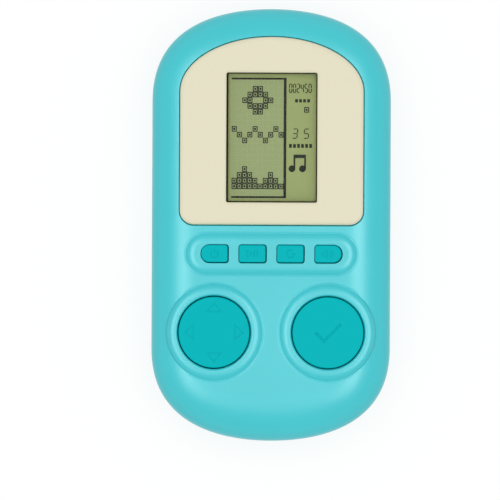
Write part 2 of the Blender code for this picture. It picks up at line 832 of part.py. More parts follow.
def screen_stack():
    lens_w = window_width / 2 + lens_border
    lens_h = window_height / 2 + lens_border
    plate("screen_lens", lens_w, lens_h, panel_under - seat, lens_thickness, lens_plastic)
    film_w = glass_half - film_inset
    film_h = rear_glass_half - film_inset
    plate("front_polariser", film_w, film_h, polariser_top, film_thickness, screen_glass)
    plate("front_glass", glass_half, front_glass_half, front_glass_top, glass_thickness, screen_glass)
    plate("rear_glass", glass_half, rear_glass_half, rear_glass_top, glass_thickness, screen_glass)
    plate("screen_reflector", film_w, film_h, reflector_top, film_thickness, reflector_film)
    zebra_middle = front_glass_half - glass_ledge / 2
    for name, side in (("upper_zebra_strip", 1), ("lower_zebra_strip", -1)):
        row = window_middle + side * zebra_middle
        low = (-glass_half + gap, row - zebra_width / 2, board_top + film_gap)
        high = (glass_half - gap, row + zebra_width / 2, front_glass_under - film_gap)
        finish(boxes(name, [(low, high)]), name, zebra_rubber)


def screen_frame():
    """Open frame that keeps the glass and the zebra strips in place on the board."""
    low = board_top + seat
    top = front_glass_top
    frame = frame_box("screen_frame", 0.0, low, top)
    cut(frame, frame_box("frame_hole", -frame_wall, low - overlap, top + overlap))
    return finish(frame, "screen_frame", frame_plastic)


# Keys

def function_key(index, name):
    key = slab(name, key_outline(index, 0.0), key_flange_under, key_top)
    soften(key, key_edge)
    flange = slab("key_flange", key_outline(index, key_flange), key_flange_under, key_flange_top)
    add(key, flange)
    return finish(key, name, key_plastic, (key_places[index], key_row, key_top))


def disc_profile(flange_top, flange_under, post_under, post_tip):
    """Half section of a hollow disc cap: rounded rim, skirt, flange and a centre post."""
    edge = [
        (disc_radius - disc_edge * (1 - math.sin(turn)), disc_top - disc_edge * (1 - math.cos(turn)))
        for turn in [math.radians(45 * step) for step in range(3)]
    ]
    inner = disc_radius - disc_skin
    roof = disc_top - disc_skin
    outer = [(0.0, disc_top)] + edge + [(disc_radius, flange_top), (flange_radius, flange_top)]
    inside = [(flange_radius, flange_under), (inner, flange_under), (inner, roof), (post_radius, roof)]
    return outer + inside + [(post_radius, post_under)] + post_tip


def direction_disc():
    """Rocking disc: a ball-ended centre post and four pins over the contacts."""
    ball = [
        (pivot_radius * math.cos(turn), tilt_axis - pivot_radius * math.sin(turn))
        for turn in [math.radians(30 * step) for step in range(4)]
    ]
    ball[-1] = (0.0, tilt_axis - pivot_radius)
    neck = tilt_axis + pivot_radius
    profile = disc_profile(tilt_flange_top, tilt_flange_under, neck, ball)
    disc = turned("direction_disc", profile, -disc_x, disc_row)
    pins = [(-disc_x + x, disc_row + y) for x, y in direction_offsets().values()]
    add(disc, rods("direction_pins", pins, tilt_flange_under, disc_top - disc_skin / 2, pin_radius, screw_sides))
    return finish(disc, "direction_disc", key_plastic, (-disc_x, disc_row, tilt_axis))


def direction_offsets():
    """Contacts of the rocking disc, from its centre."""
    return {
        "up": (0.0, pin_circle),
        "down": (0.0, -pin_circle),
        "left": (-pin_circle, 0.0),
        "right": (pin_circle, 0.0),
    }


def action_disc():
    """Plain push disc with a centre post."""
    tip = [(0.0, key_flange_under)]
    profile = disc_profile(key_flange_top, key_flange_under, key_flange_under, tip)
    disc = turned("action_disc", profile, disc_x, disc_row)
    return finish(disc, "action_disc", key_plastic, (disc_x, disc_row, disc_top))


def dome_mat(name, base, centres, crown_top):
    """Rubber mat: a sheet with a hollow dome under each key."""
    inside = crown_top - dome_skin
    add(base, rods("dome", centres, board_top + seat, crown_top, dome_base, dome_sides, dome_crown))
    hollow_base = dome_base - dome_skin
    hollow_crown = dome_crown - dome_skin
    cut(base, rods("dome_inside", centres, board_top - overlap, inside, hollow_base, dome_sides, hollow_crown))
    return finish(base, name, mat_rubber)


def contact_pill(name, centre, crown_top):
    """Carbon contact under a dome's crown."""
    high = crown_top - dome_skin - film_gap
    pill = rods(name, [centre], high - pill_thickness, high, pill_radius, 10)
    return finish(pill, name, contact_carbon)


def mats():
    key_crown = key_flange_under - 2 * seat
    tilt_crown = tilt_flange_under - 2 * seat
    low = board_top + seat
    key_centres = [(x, key_row) for x in key_places]
    mat_width = (key_count - 1) * key_pitch + 2 * (dome_base + mat_margin)
    strip = rounded_box(0.0, key_row, mat_width, 2 * (dome_base + mat_margin), mat_corner)
    dome_mat("function_key_mat", slab("function_key_mat", strip, low, mat_top), key_centres, key_crown)
    radius = disc_radius + mat_margin
    offsets = direction_offsets()
    rocker = rods("direction_mat", [(-disc_x, disc_row)], low, mat_top, radius, 24)
    rocker_centres = [(-disc_x + x, disc_row + y) for x, y in offsets.values()]
    dome_mat("direction_mat", rocker, rocker_centres, tilt_crown)
    push = rods("action_mat", [(disc_x, disc_row)], low, mat_top, radius, 24)
    dome_mat("action_mat", push, [(disc_x, disc_row)], key_crown)
    for name, centre in zip(key_names, key_centres):
        contact_pill(name.replace("key", "contact"), centre, key_crown)
    for name, (x, y) in offsets.items():
        contact_pill(name + "_contact", (-disc_x + x, disc_row + y), tilt_crown)
    contact_pill("action_contact", (disc_x, disc_row), key_crown)


# Electronics

def main_board():
    board = slab("main_board", board_outline(), board_under, board_top)
    cut(board, rods("board_notch", boss_places(), board_under - overlap, board_top + overlap, boss_radius + 2 * gap))
    clear = board_screw_radius + gap
    cut(board, rods("board_hole", post_places(), board_under - overlap, board_top + overlap, clear, screw_sides))
    return finish(board, "main_board", board_laminate)


def board_parts():
    top = board_under - film_gap
    turns = [math.radians(18 * step) for step in range(6)]
    blob = [(blob_radius * math.cos(turn), top - blob_height * math.sin(turn)) for turn in turns]
    blob[-1] = (0.0, top - blob_height)
    item = turned("chip_epoxy_cap", [(0.0, top)] + blob, 0.0, window_middle, 20)
    finish(item, "chip_epoxy_cap", chip_epoxy)
    inward, y = capacitor_place
    centre = (board_half - inward, window_middle + y)
    can = rods("supply_capacitor", [centre], top - capacitor_height, top, capacitor_radius, 16)
    finish(can, "supply_capacitor", capacitor_sleeve)
    width, height, depth = chip_size
    for index, name in enumerate(("clock_resistor", "sounder_resistor")):
        x, y = resistor_place
        row = window_middle + y + index * resistor_pitch
        low = (x - width / 2, row - height / 2, top - depth)
        high = (x + width / 2, row + height / 2, top)
        finish(boxes(name, [(low, high)]), name, chip_epoxy)


def sounder():
    low = wall + sounder_ledge + film_gap
    high = low + sounder_thickness
    disc = rods("sounder_plate", [(0.0, sounder_row)], low, high, sounder_radius, 32)
    finish(disc, "sounder_plate", sounder_brass)
    low = high + film_gap
    ceramic = rods("sounder_ceramic", [(0.0, sounder_row)], low, low + ceramic_thickness, ceramic_radius, 24)
    finish(ceramic, "sounder_ceramic", sounder_ceramic)
    return low + ceramic_thickness


def wire(name, points, material):
    return finish(tube(name, points, wire_radius), name, material)


def arch_path(start, end, side, steps=6):
    """Wire that leaves and arrives upright, with a soft sideways bow between."""
    start = Vector(start)
    end = Vector(end)
    stub = Vector((0.0, 0.0, 2 * wire_radius))
    bow = Vector((side, 0.0, 0.0))
    points = [start]
    for step in range(steps + 1):
        t = step / steps
        points.append((start + stub).lerp(end - stub, t) + bow * math.sin(math.pi * t) ** 2)
    return points + [end]


def wires(ceramic_top):
    board_end = board_under - gap
    tab_end = bay_top + bay_wall + 2 * overlap + gap
    tab_z = battery_axis + contact_tab_height * 1.5
    landing = tab_end + wire_landing
    for name, x, material in (("positive_wire", -battery_x, red_wire), ("negative_wire", battery_x, black_wire)):
        start = (x, tab_end, tab_z)
        bend = (x, tab_end + wire_straight, tab_z)
        turn = (x, landing, (tab_z + board_end) / 2)
        wire(name, [start, bend, turn, (x, landing, board_end)], material)
    arrival = sounder_row + sounder_wire_run
    foot = ceramic_top + seat
    inner = ceramic_radius / 2
    outer = (ceramic_radius + sounder_radius) / 2
    rim = wall + sounder_ledge + film_gap + sounder_thickness + seat
    ceramic_path = arch_path((inner, sounder_row, foot), (inner, arrival, board_end), sounder_wire_bow)
    wire("sounder_wire_ceramic", ceramic_path, red_wire)
    plate_path = arch_path((-outer, sounder_row, rim), (-outer, arrival, board_end), -sounder_wire_bow)
    wire("sounder_wire_plate", plate_path, black_wire)


# Battery bay

def battery(name, x, points_up):
    """Round cell with its raised nub, lying along y."""
    radius = battery_diameter / 2
    edge = battery_edge
    body = battery_length - battery_nub
    profile = [
        (0.0, battery_length),
        (battery_nub_radius, battery_length),
        (battery_nub_radius, body),
        (radius - edge, body),
        (radius, body - edge),
        (radius, edge),
        (radius - edge, 0.0),
        (0.0, 0.0),
    ]
    cell = turned(name, profile, 0.0, 0.0, 16)
    if points_up:
        foot = bay_top - contact_thickness - 2 * gap - battery_length
        turn = -math.pi / 2
    else:
        foot = bay_bottom + contact_thickness + 2 * gap + battery_length
        turn = math.pi / 2
    matrix = Matrix.Translation((x, foot, battery_axis)) @ Matrix.Rotation(turn, 4, 'X')
    cell.data.transform(matrix)
    return finish(cell, name, battery_jacket)


def spring_path(x, base, direction):
    """Cone of turns from the contact to the cell, with a flat half turn at each end."""
    wide = contact_width / 2 - 2 * spring_wire
    narrow = wide / 2
    points_per_turn = 8
    count = spring_turns * points_per_turn
    points = []
    for step in range(count + 1):
        share = step / count
        radius = wide + (narrow - wide) * share
        angle = math.tau * step / points_per_turn
        y = base + direction * (spring_wire + share * (spring_length - 2 * spring_wire - 2 * seat) + seat)
        points.append(Vector((x + radius * math.cos(angle), y, battery_axis + radius * math.sin(angle))))
    least = min(
        (points[first] - points[second]).length
        for first in range(count + 1)
        for second in range(first + points_per_turn // 2, count + 1)
    )
    print("spring gap to itself, mm:", round((least - 2 * spring_wire) / MM, 3))
    return points


def contacts():
    low = door_top + 2 * battery_play
    high = roof_under - battery_play
    tab_low = battery_axis + contact_tab_height
    tab_high = tab_low + contact_tab_height
    face = bay_top - gap - contact_thickness
    half = contact_width / 2
    tab_half = contact_tab_width / 2
    for name, x in (("positive_contact", -battery_x), ("negative_contact", battery_x)):
        sheet = boxes(name, [((x - half, face, low), (x + half, bay_top - gap, high))])
        tab = ((x - tab_half, face + seat, tab_low), (x + tab_half, bay_top + bay_wall + 2 * overlap, tab_high))
        add(sheet, boxes("contact_tab", [tab]))
        finish(sheet, name, contact_steel)
    lower = bay_bottom + gap
    wide = battery_x + half
    bridge = boxes("bridge_contact", [((-wide, lower, low), (wide, lower + contact_thickness, high))])
    finish(bridge, "bridge_contact", contact_steel)
    upper_spring = tube("negative_spring", spring_path(battery_x, face, -1), spring_wire)
    finish(upper_spring, "negative_spring", contact_steel)
    lower_spring = tube("bridge_spring", spring_path(-battery_x, lower + contact_thickness, 1), spring_wire)
    finish(lower_spring, "bridge_spring", contact_steel)


# Fasteners

def screw(name, x, y, head_low, head_radius, head_height, radius, tip):
    """Pan-head screw that points to the front, with a cross slot in its head."""
    head_top = head_low + head_height
    dome = head_height / 3
    profile = [
        (0.0, tip),
        (radius * 0.5, tip),
        (radius, tip - radius),
        (radius, head_top),
        (head_radius, head_top),
        (head_radius, head_low + dome),
        (head_radius - dome, head_low),
        (0.0, head_low),
    ]
    item = turned(name, profile, x, y, screw_sides)
    arm = head_radius * 0.6
    half = slot_width / 2
    low = head_low - overlap
    high = head_low + slot_depth
    cross = boxes("screw_slot", [((x - arm, y - half, low), (x + arm, y + half, high))])
    add(cross, boxes("screw_slot_across", [((x - half, y - arm, low), (x + half, y + arm, high))]))
    cut(item, cross)
    return finish(item, name, screw_steel)


def screws():
    head_low = well_depth - seat - screw_head_height
    for index, (x, y) in enumerate(boss_places()):
        name = "case_screw_" + str(index + 1)
        screw(name, x, y, head_low, screw_head_radius, screw_head_height, screw_radius, parting + screw_reach)
    head_low = board_under - seat - board_head_height
    tip = board_top + board_screw_reach
    for index, (x, y) in enumerate(post_places()):
        name = "board_screw_" + str(index + 1)
        screw(name, x, y, head_low, board_head_radius, board_head_height, board_screw_radius, tip)


key_names = ("power_key", "pause_key", "restart_key", "sound_key")


def build():
    front_shell()
    rear_shell()
    battery_door()
    screen_panel()
    screen_stack()
    screen_frame()
    for index, name in enumerate(key_names):
        function_key(index, name)
    direction_disc()
    action_disc()
    mats()
    main_board()
    board_parts()
    wires(sounder())
    battery("left_battery", -battery_x, True)
    battery("right_battery", battery_x, False)
    contacts()
    screws()


build()
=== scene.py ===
"""Looks of the handheld LCD game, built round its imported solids.

Laid out as an add-on and run as a script. Metres throughout: the game lies on its back,
+Z is its front and +Y its top end.
"""
import math

import bmesh
import bpy
import numpy as np
from bpy.props import FloatProperty, FloatVectorProperty, PointerProperty
from mathutils import Matrix, Vector
from mathutils.geometry import delaunay_2d_cdt


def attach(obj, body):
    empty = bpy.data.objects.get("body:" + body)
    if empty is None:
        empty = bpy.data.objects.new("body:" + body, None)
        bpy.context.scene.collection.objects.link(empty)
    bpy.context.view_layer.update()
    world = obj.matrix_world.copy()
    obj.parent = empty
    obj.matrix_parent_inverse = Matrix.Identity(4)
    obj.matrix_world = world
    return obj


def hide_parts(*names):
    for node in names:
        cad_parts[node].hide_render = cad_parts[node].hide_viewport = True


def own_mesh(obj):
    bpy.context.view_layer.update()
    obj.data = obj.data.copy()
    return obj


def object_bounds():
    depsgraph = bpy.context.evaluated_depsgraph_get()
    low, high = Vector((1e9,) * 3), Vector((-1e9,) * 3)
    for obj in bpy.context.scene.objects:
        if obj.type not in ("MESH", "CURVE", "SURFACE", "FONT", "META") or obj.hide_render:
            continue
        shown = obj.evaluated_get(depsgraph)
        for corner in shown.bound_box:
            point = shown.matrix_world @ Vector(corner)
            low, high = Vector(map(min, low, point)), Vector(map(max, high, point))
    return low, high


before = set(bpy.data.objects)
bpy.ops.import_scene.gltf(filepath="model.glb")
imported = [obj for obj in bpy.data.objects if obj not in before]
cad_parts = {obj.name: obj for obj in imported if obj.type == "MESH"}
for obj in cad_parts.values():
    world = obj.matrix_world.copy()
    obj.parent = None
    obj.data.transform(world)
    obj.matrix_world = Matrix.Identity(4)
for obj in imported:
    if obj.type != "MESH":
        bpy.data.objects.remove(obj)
cad_low, cad_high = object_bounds()

bl_info = {
    "name": "Handheld LCD game",
    "version": (1, 0, 0),
    "blender": (4, 5, 0),
    "location": "View3D > Sidebar > Game",
    "description": "Builds the visible pieces, the finishes and the stage of a handheld LCD game",
    "category": "Object",
}

# Sizes, most of them those of the solids
MM = 0.001
gap = 0.3 * MM
seat = 0.1 * MM
overlap = 1.0 * MM
reach = 0.2
step_run = 0.05 * MM
half_width = cad_high.x
half_length = cad_high.y
wall = 2.0 * MM
parting = 10.975 * MM
side_band = 2.0 * MM
rear_drop = parting - side_band
lip_thickness = 0.9 * MM
lip_height = 1.8 * MM
relief_top = parting + lip_height + 2 * gap
end_rise = 28.8 * MM
end_handle = 15.0 * MM
side_handle = 24.4 * MM
front_flat = 21.95 * MM
front_inner = 20.15 * MM
front_inner_drop = front_inner - parting - side_band / 2
board_top = 15.85 * MM
floor_top = 20.45 * MM
floor_under = 19.45 * MM
panel_face = 22.15 * MM
panel_under = 20.55 * MM
panel_half = 28.4 * MM
panel_top = 58.12 * MM
panel_bottom = -0.1 * MM
panel_arch = 17.0 * MM
panel_corner = 4.35 * MM
window_width = 28.15 * MM
window_height = 40.2 * MM
window_middle = 26.96 * MM
window_corner = 0.6 * MM
lens_border = 2.0 * MM
polariser_top = 19.35 * MM
key_count = 4
key_pitch = 11.73 * MM
key_row = -9.0 * MM
key_width = 8.2 * MM
key_height = 5.3 * MM
key_corner = 0.7 * MM
key_gap = 0.25 * MM
hole_shift = (0.1 * MM, -0.07 * MM)
key_flange = 0.9 * MM
key_flange_top = 19.85 * MM
key_flange_under = 18.85 * MM
key_top = 23.05 * MM
pad_width = 53.0 * MM
pad_height = 12.75 * MM
pad_row = -9.12 * MM
pad_top = 22.8 * MM
disc_x = 17.6 * MM
disc_row = -33.35 * MM
disc_radius = 10.97 * MM
disc_top = 23.0 * MM
disc_skin = 1.5 * MM
hole_radius = 11.3 * MM
pocket_radius = 12.8 * MM
flange_radius = 12.2 * MM
collar_top = 22.85 * MM
post_radius = 2.4 * MM
pin_radius = 1.8 * MM
pin_circle = 7.5 * MM
tilt_axis = 18.15 * MM
pivot_radius = 1.3 * MM
tilt_flange_top = 18.85 * MM
tilt_flange_under = 18.05 * MM
boss_radius = 2.8 * MM
boss_root = 0.5 * MM
rear_boss_radius = 3.6 * MM
pilot_radius = 1.35 * MM
well_radius = 2.8 * MM
well_depth = 7.0 * MM
well_flare = 0.35 * MM
screw_radius = 1.2 * MM
screw_head_radius = 2.4 * MM
screw_head_height = 1.6 * MM
screw_reach = 7.6 * MM
cross_width = 0.6 * MM
cross_depth = 1.6 * MM
boss_corners = ((24.0 * MM, 50.0 * MM), (28.5 * MM, -10.0 * MM), (18.4 * MM, -53.3 * MM))
boss_places = [(x * side, y) for x, y in boss_corners for side in (1, -1)]
battery_radius = 5.25 * MM
battery_length = 44.5 * MM
battery_nub = 0.8 * MM
battery_nub_radius = 1.9 * MM
battery_axis = 7.35 * MM
battery_x = 5.6 * MM
battery_edge = 0.6 * MM
battery_nub_edge = 0.2 * MM
battery_rim = 0.35 * MM
bay_half = 11.2 * MM
bay_wall = 1.4 * MM
bay_top = -0.4 * MM
bay_bottom = -50.4 * MM
roof_under = 12.95 * MM
roof_top = 14.15 * MM
slot_top = 2.05 * MM
contact_thickness = 0.4 * MM
contact_width = 8.6 * MM
contact_tab_width = 2.4 * MM
contact_tab_height = 1.6 * MM
spring_length = 3.2 * MM
spring_wire = 0.3 * MM
spring_turns = 3
door_half = 13.6 * MM
door_upper = 3.5 * MM
door_lift = 0.15 * MM
door_thickness = 1.6 * MM
door_end_height = 5.0 * MM
door_travel = 8.0 * MM
door_tab = 1.0 * MM
door_tab_thickness = 0.8 * MM
door_tab_length = 5.0 * MM
door_tab_drop = 0.01 * MM
door_tab_rows = (-41.4 * MM, -9.4 * MM)
door_top = door_lift + door_thickness
door_soft = 0.15 * MM
ledge_width = 2.5 * MM
ledge_thickness = 1.2 * MM
grip_count = 5
grip_pitch = 2.2 * MM
grip_radius = 0.32 * grip_pitch
grip_start = 1.25
grip_length = 14.0 * MM
sounder_row = 34.0 * MM
sounder_radius = 13.5 * MM
sounder_thickness = 0.3 * MM
sounder_ledge = 0.8 * MM
sounder_wall = 1.2 * MM
grille_radius = 1.0 * MM
grille_circle = 4.5 * MM
grille_count = 6
grille_flare = 0.3 * MM
mat_under = board_top + seat
mat_top = board_top + 0.8 * MM
mat_margin = 1.3 * MM
mat_corner = 1.0 * MM
mat_fit = 0.02 * MM
dome_skin = 0.45 * MM
dome_base = 3.1 * MM
dome_crown = 2.2 * MM
dome_gap = 0.2 * MM
dome_opening = 1.5 * MM
pressed_share = 0.69
tilted_share = 0.78
key_names = ("power_key", "pause_key", "restart_key", "sound_key")
key_places = [(index - (key_count - 1) / 2) * key_pitch for index in range(key_count)]

# Raised forms of the case front: how their sides curve, and the shallow dip round them
form_crown = 0.84 * MM
foot_depth = 0.22 * MM
foot_run = 0.2
foot_fade = 0.6 * MM
form_steps = (0.0, 0.1, 0.2, 0.3, 0.4, 0.5, 0.6, 0.7, 0.78, 0.85, 0.91, 0.96, 1.0, 1.05, 1.1, 1.15, 1.2, 1.26)

# Signs pressed into the discs, in millimetres from the middle of the disc
arrow_mark = ((-2.1, 6.45), (2.1, 6.45), (0.0, 9.0))
tick_mark = ((-3.7, 0.0), (-1.2, -2.6), (3.9, 2.7))
tick_radius = 0.42 * MM
tick_lift = 0.05 * MM

# Display print: ten columns and twenty rows of blocks, with a line above, below and to the right
ink_thickness = 0.02 * MM
ink_level = polariser_top + 0.02 * MM
print_thickness = 0.03 * MM
field_line = 0.58 * MM
field_rule = 0.85 * MM
line_left = -12.5 * MM
line_right = 4.54 * MM
line_top = 45.6 * MM
line_bottom = 8.27 * MM
field_left = -11.62 * MM
field_top = 43.93 * MM
field_pitch_x = 1.612 * MM
field_pitch_y = 1.78 * MM
block_width = 1.56 * MM
block_height = 1.73 * MM
field_ring = 0.3 * MM
block_dot_width = 0.58 * MM
block_dot_height = 0.66 * MM
preview_x = 10.8 * MM
preview_y = 35.7 * MM
note_x = 9.0 * MM
note_y = 17.4 * MM
note_size = 6.6 * MM
segment_width = 0.3 * MM
segment_share = 0.8
unlit_shade = 0.93
grid_line = 0.1 * MM
# Widths of the dark line round the window: partly print, partly painted shadow of the window's edge, widest
# on the left
frame_left = 0.58 * MM
frame_right = 0.32 * MM
frame_top = 0.28 * MM
frame_bottom = 0.4 * MM
frame_outer = 1.2 * MM
lit_rows = {
    1: "....##....",
    2: "...####...",
    3: "..##..##..",
    4: "...####...",
    5: "....##....",
    8: "#...#...#.",
    9: ".#.#.#.#.#",
    10: "..#...#...",
    15: "..#.......",
    16: ".###...#..",
    17: "#####.###.",
    18: "##########",
}
lit_segments = {"0": "abcdef", "2": "abged", "3": "abgcd", "4": "fgbc", "5": "afgcd"}
digit_rows = (
    # name, number, x of the first digit, y, pitch, width, height, lean
    ("score_digits", "002450", 5.8 * MM, 42.35 * MM, 1.21 * MM, 0.75 * MM, 2.6 * MM, 0.0),
    ("level_digits", "35", 7.25 * MM, 28.3 * MM, 3.5 * MM, 1.4 * MM, 2.9 * MM, 0.12),
)
gauge_rows = (
    # x of the first bar, y, bars, pitch, width, height
    (7.2 * MM, 38.0 * MM, 4, 1.25 * MM, 0.85 * MM, 1.0 * MM),
    (5.4 * MM, 23.9 * MM, 6, 1.25 * MM, 0.85 * MM, 1.2 * MM),
)

# How finely round shapes are drawn
end_steps = 40
side_steps = 24
edge_rings = 16
round_steps = 128
lip_steps = 5

# Finishes
noise_low = 0.3
noise_high = 0.7
abs_ior = 1.53
grain_strength = 0.35
flow_size = 18.0 * MM
flow_tint = 0.02
gloss_below = 0.03
gloss_above = 0.04
inner_gloss = 0.08
inner_strength = 0.2
inner_depth = 0.02 * MM
matt_print = {"Roughness": 0.6, "Specular IOR Level": 0.05}
white = (1.0, 1.0, 1.0, 1.0)

# Camera, floor and lamps
camera_x = -6.58 * MM
camera_y = -7.87 * MM
camera_roll = math.radians(0.26)
floor_gap = 0.3 * MM
floor_half = 3.0
floor_shade = 0.22
floor_glow = 0.8
lamp_target = (0.0, 0.0, 0.01)
top_height = 1.3
top_side = 1.6
strip_x = 0.36
strip_height = 0.82
strip_width = 0.3
strip_length = 0.8


# What a user may change: soft forms, colours and stage

def linear(code):
    """sRGB hex to the linear colour that Blender works in."""
    channels = [int(code[start:start + 2], 16) / 255 for start in (1, 3, 5)]
    return [c / 12.92 if c <= 0.04045 else ((c + 0.055) / 1.055) ** 2.4 for c in channels]


def amount(name, text, value, unit='NONE'):
    return FloatProperty(name=name, description=text, default=value, unit=unit)


def length(name, text, value):
    return amount(name, text, value, 'LENGTH')


def colour(name, text, code):
    return FloatVectorProperty(
        name=name, description=text, default=linear(code), subtype='COLOR', size=3, min=0.0, max=1.0
    )


class GameSizes(bpy.types.PropertyGroup):
    """Soft forms that a user may want rounder or crisper."""
    front_edge: length("Front edge", "Width of the rounded front edge", 14.0 * MM)
    rear_edge: length("Rear edge", "Width of the rounded rear edge", 11.0 * MM)
    collar_slope: length("Collar slope", "Width of the collars' outer slope", 2.85 * MM)
    collar_lip: length("Collar lip", "Rounding of the collars' inner edge", 0.8 * MM)
    pad_slope: length("Pad slope", "Width of the slope round the key pad", 3.0 * MM)
    small_lip: length("Small lip", "Rounding of the edges of small openings", 0.15 * MM)
    panel_edge: length("Panel edge", "Width of the screen panel's rounded edge", 1.9 * MM)
    panel_drop: length("Panel drop", "Height of the screen panel's rounded edge", 1.0 * MM)
    window_lip: length("Window lip", "Width of the rounding at the window", 1.6 * MM)
    window_drop: length("Window drop", "Height of the rounding at the window", 0.55 * MM)
    key_edge: length("Key edge", "Rounding of the keys' top edges", 0.35 * MM)
    disc_edge: length("Disc edge", "Rounding of the discs' top edges", 0.45 * MM)
    mark_width: length("Mark width", "Half width of the marks pressed into the keys", 0.17 * MM)
    disc_mark_width: length("Disc mark width", "Half width of the marks on the discs", 0.2 * MM)


class GameColours(bpy.types.PropertyGroup):
    """Colours of the visible pieces."""
    case: colour("Case", "Moulded case", "#2DC2CB")
    keys: colour("Keys", "Keys and discs", "#00B6BC")
    panel: colour("Panel", "Screen panel", "#DFDABF")
    display: colour("Display", "Bare display", "#9CA96C")
    field: colour("Field", "Block field of the display", "#9DAC77")
    lines: colour("Lines", "Frame lines of the display", "#080A02")
    ink: colour("Ink", "Lit segments of the display", "#0C1209")
    floor: colour("Floor", "Floor under the game", "#F7F7F7")


class GameStage(bpy.types.PropertyGroup):
    """Camera and lamps."""
    lens: amount("Lens", "Focal length in millimetres", 180.0)
    camera_height: length("Camera height", "Camera above the floor", 0.795)
    lamp_power: amount("Lamp power", "Each strip light", 3.5, 'POWER')
    top_power: amount("Top power", "Softbox overhead", 7.5, 'POWER')
    room_light: amount("Room light", "Strength of the even light", 0.7)
    room_gloss: amount("Room gloss", "Strength of the room in reflections", 1.35)


# Outlines, as arrays of points

def unit(vectors):
    return vectors / np.linalg.norm(vectors, axis=1)[:, None]


def case_outline(inset=0.0):
    """Points of the case outline and the outward direction at each, clockwise from the top."""
    shoulder = half_length - end_rise
    handles = np.array([
        (0.0, half_length),
        (end_handle, half_length),
        (half_width, shoulder + side_handle),
        (half_width, shoulder),
    ])
    t = np.linspace(0.0, 1.0, end_steps + 1)[:, None]
    weights = np.hstack([(1 - t) ** 3, 3 * (1 - t) ** 2 * t, 3 * (1 - t) * t ** 2, t ** 3])
    quarter = weights @ handles
    runs = np.hstack([(1 - t) ** 2, 2 * (1 - t) * t, t ** 2]) @ np.diff(handles, axis=0)
    outward = unit(np.column_stack([-runs[:, 1], runs[:, 0]]))
    rows = np.linspace(shoulder, -shoulder, side_steps + 1)[1:-1]
    side = np.column_stack([np.full(len(rows), half_width), rows])
    side_out = np.tile((1.0, 0.0), (len(rows), 1))
    flip = np.array((1.0, -1.0))
    right = np.vstack([quarter, side, quarter[::-1] * flip])
    right_out = np.vstack([outward, side_out, outward[::-1] * flip])
    mirror = np.array((-1.0, 1.0))
    points = np.vstack([right, right[-2:0:-1] * mirror])
    normals = np.vstack([right_out, right_out[-2:0:-1] * mirror])
    return points - inset * normals, normals


def circle(x, y, radius, steps=round_steps):
    turn = np.linspace(0.0, math.tau, steps, endpoint=False)
    return np.column_stack([x + radius * np.cos(turn), y + radius * np.sin(turn)])


def arc(x, y, radius, start, end, steps):
    """Points on an arc, angles in degrees, both ends included."""
    turn = np.radians(np.linspace(start, end, steps + 1))
    return np.column_stack([x + radius * np.cos(turn), y + radius * np.sin(turn)])


def rounded_box(x, y, width, height, left, right, steps=8):
    """Rounded rectangle about x, y with its own corner radius on each side."""
    half_w = width / 2
    half_h = height / 2
    corners = [
        arc(x + half_w - right, y + half_h - right, right, 90, 0, steps),
        arc(x + half_w - right, y - half_h + right, right, 0, -90, steps),
        arc(x - half_w + left, y - half_h + left, left, 270, 180, steps),
        arc(x - half_w + left, y + half_h - left, left, 180, 90, steps),
    ]
    return np.vstack(corners)


def capsule(x, y, width, height, grow=0.0, steps=24, straight=20):
    """Outline with two round ends, grown outwards."""
    radius = height / 2 + grow
    half = width / 2 - height / 2
    along = np.linspace(-half, half, straight + 1)[1:-1]
    upper = np.column_stack([x + along, np.full(len(along), y + radius)])
    lower = np.column_stack([x - along, np.full(len(along), y - radius)])
    right = arc(x + half, y, radius, 90, -90, steps)
    left = arc(x - half, y, radius, 270, 90, steps)
    return np.vstack([upper, right, lower, left])


def panel_outline(grow=0.0):
    """Flat bottom with rounded corners, straight sides and an elliptic arch, grown outwards."""
    spring_line = panel_top - panel_arch
    arch = arc(0.0, 0.0, 1.0, 180, 0, 72) * (panel_half, panel_arch) + (0.0, spring_line)
    inner = panel_half - panel_corner
    low = panel_bottom + panel_corner
    rows = np.linspace(spring_line, low, 16)[1:-1]
    right = np.column_stack([np.full(len(rows), panel_half), rows])
    along = np.linspace(inner, -inner, 24)[1:-1]
    bottom = np.column_stack([along, np.full(len(along), panel_bottom)])
    points = np.vstack([
        arch, right, arc(inner, low, panel_corner, 0, -90, 12), bottom,
        arc(-inner, low, panel_corner, 270, 180, 12), right[::-1] * (-1.0, 1.0),
    ])
    return points + grow * outward_of(points)


def key_outline(index, grow=0.0):
    """End keys have a round outer end."""
    flat = 0.1 * MM
    round_end = key_height / 2 - flat
    left = (round_end if index == 0 else key_corner) + grow
    right = (round_end if index == key_count - 1 else key_corner) + grow
    return rounded_box(key_places[index], key_row, key_width + 2 * grow, key_height + 2 * grow, left, right)


def outward_of(loop):
    """Outward direction at each point of a closed loop."""
    run = np.roll(loop, -1, 0) - np.roll(loop, 1, 0)
    normal = unit(np.column_stack([run[:, 1], -run[:, 0]]))
    after = np.roll(loop, -1, 0)
    area = (loop[:, 0] * after[:, 1] - after[:, 0] * loop[:, 1]).sum()
    return normal if area > 0 else -normal


# Distances in plan

def distance_to(loop, xy):
    """Distance from each point to a closed loop."""
    run = np.roll(loop, -1, 0) - loop
    offset = xy[:, None, :] - loop[None]
    share = np.clip((offset * run).sum(2) / np.maximum((run ** 2).sum(1), 1e-18), 0.0, 1.0)
    return np.sqrt(((offset - share[..., None] * run) ** 2).sum(2).min(1))


def inside(loop, xy):
    """True for the points inside a closed loop."""
    x, y = xy[:, 0][:, None], xy[:, 1][:, None]
    ax, ay = loop[:, 0], loop[:, 1]
    bx, by = np.roll(ax, -1), np.roll(ay, -1)
    crossing = (ay > y) != (by > y)
    rise = np.where(by == ay, 1.0, by - ay)
    return (crossing & (x < ax + (y - ay) * (bx - ax) / rise)).sum(1) % 2 == 1


def from_centre(xy, x, y):
    return np.hypot(xy[:, 0] - x, xy[:, 1] - y)


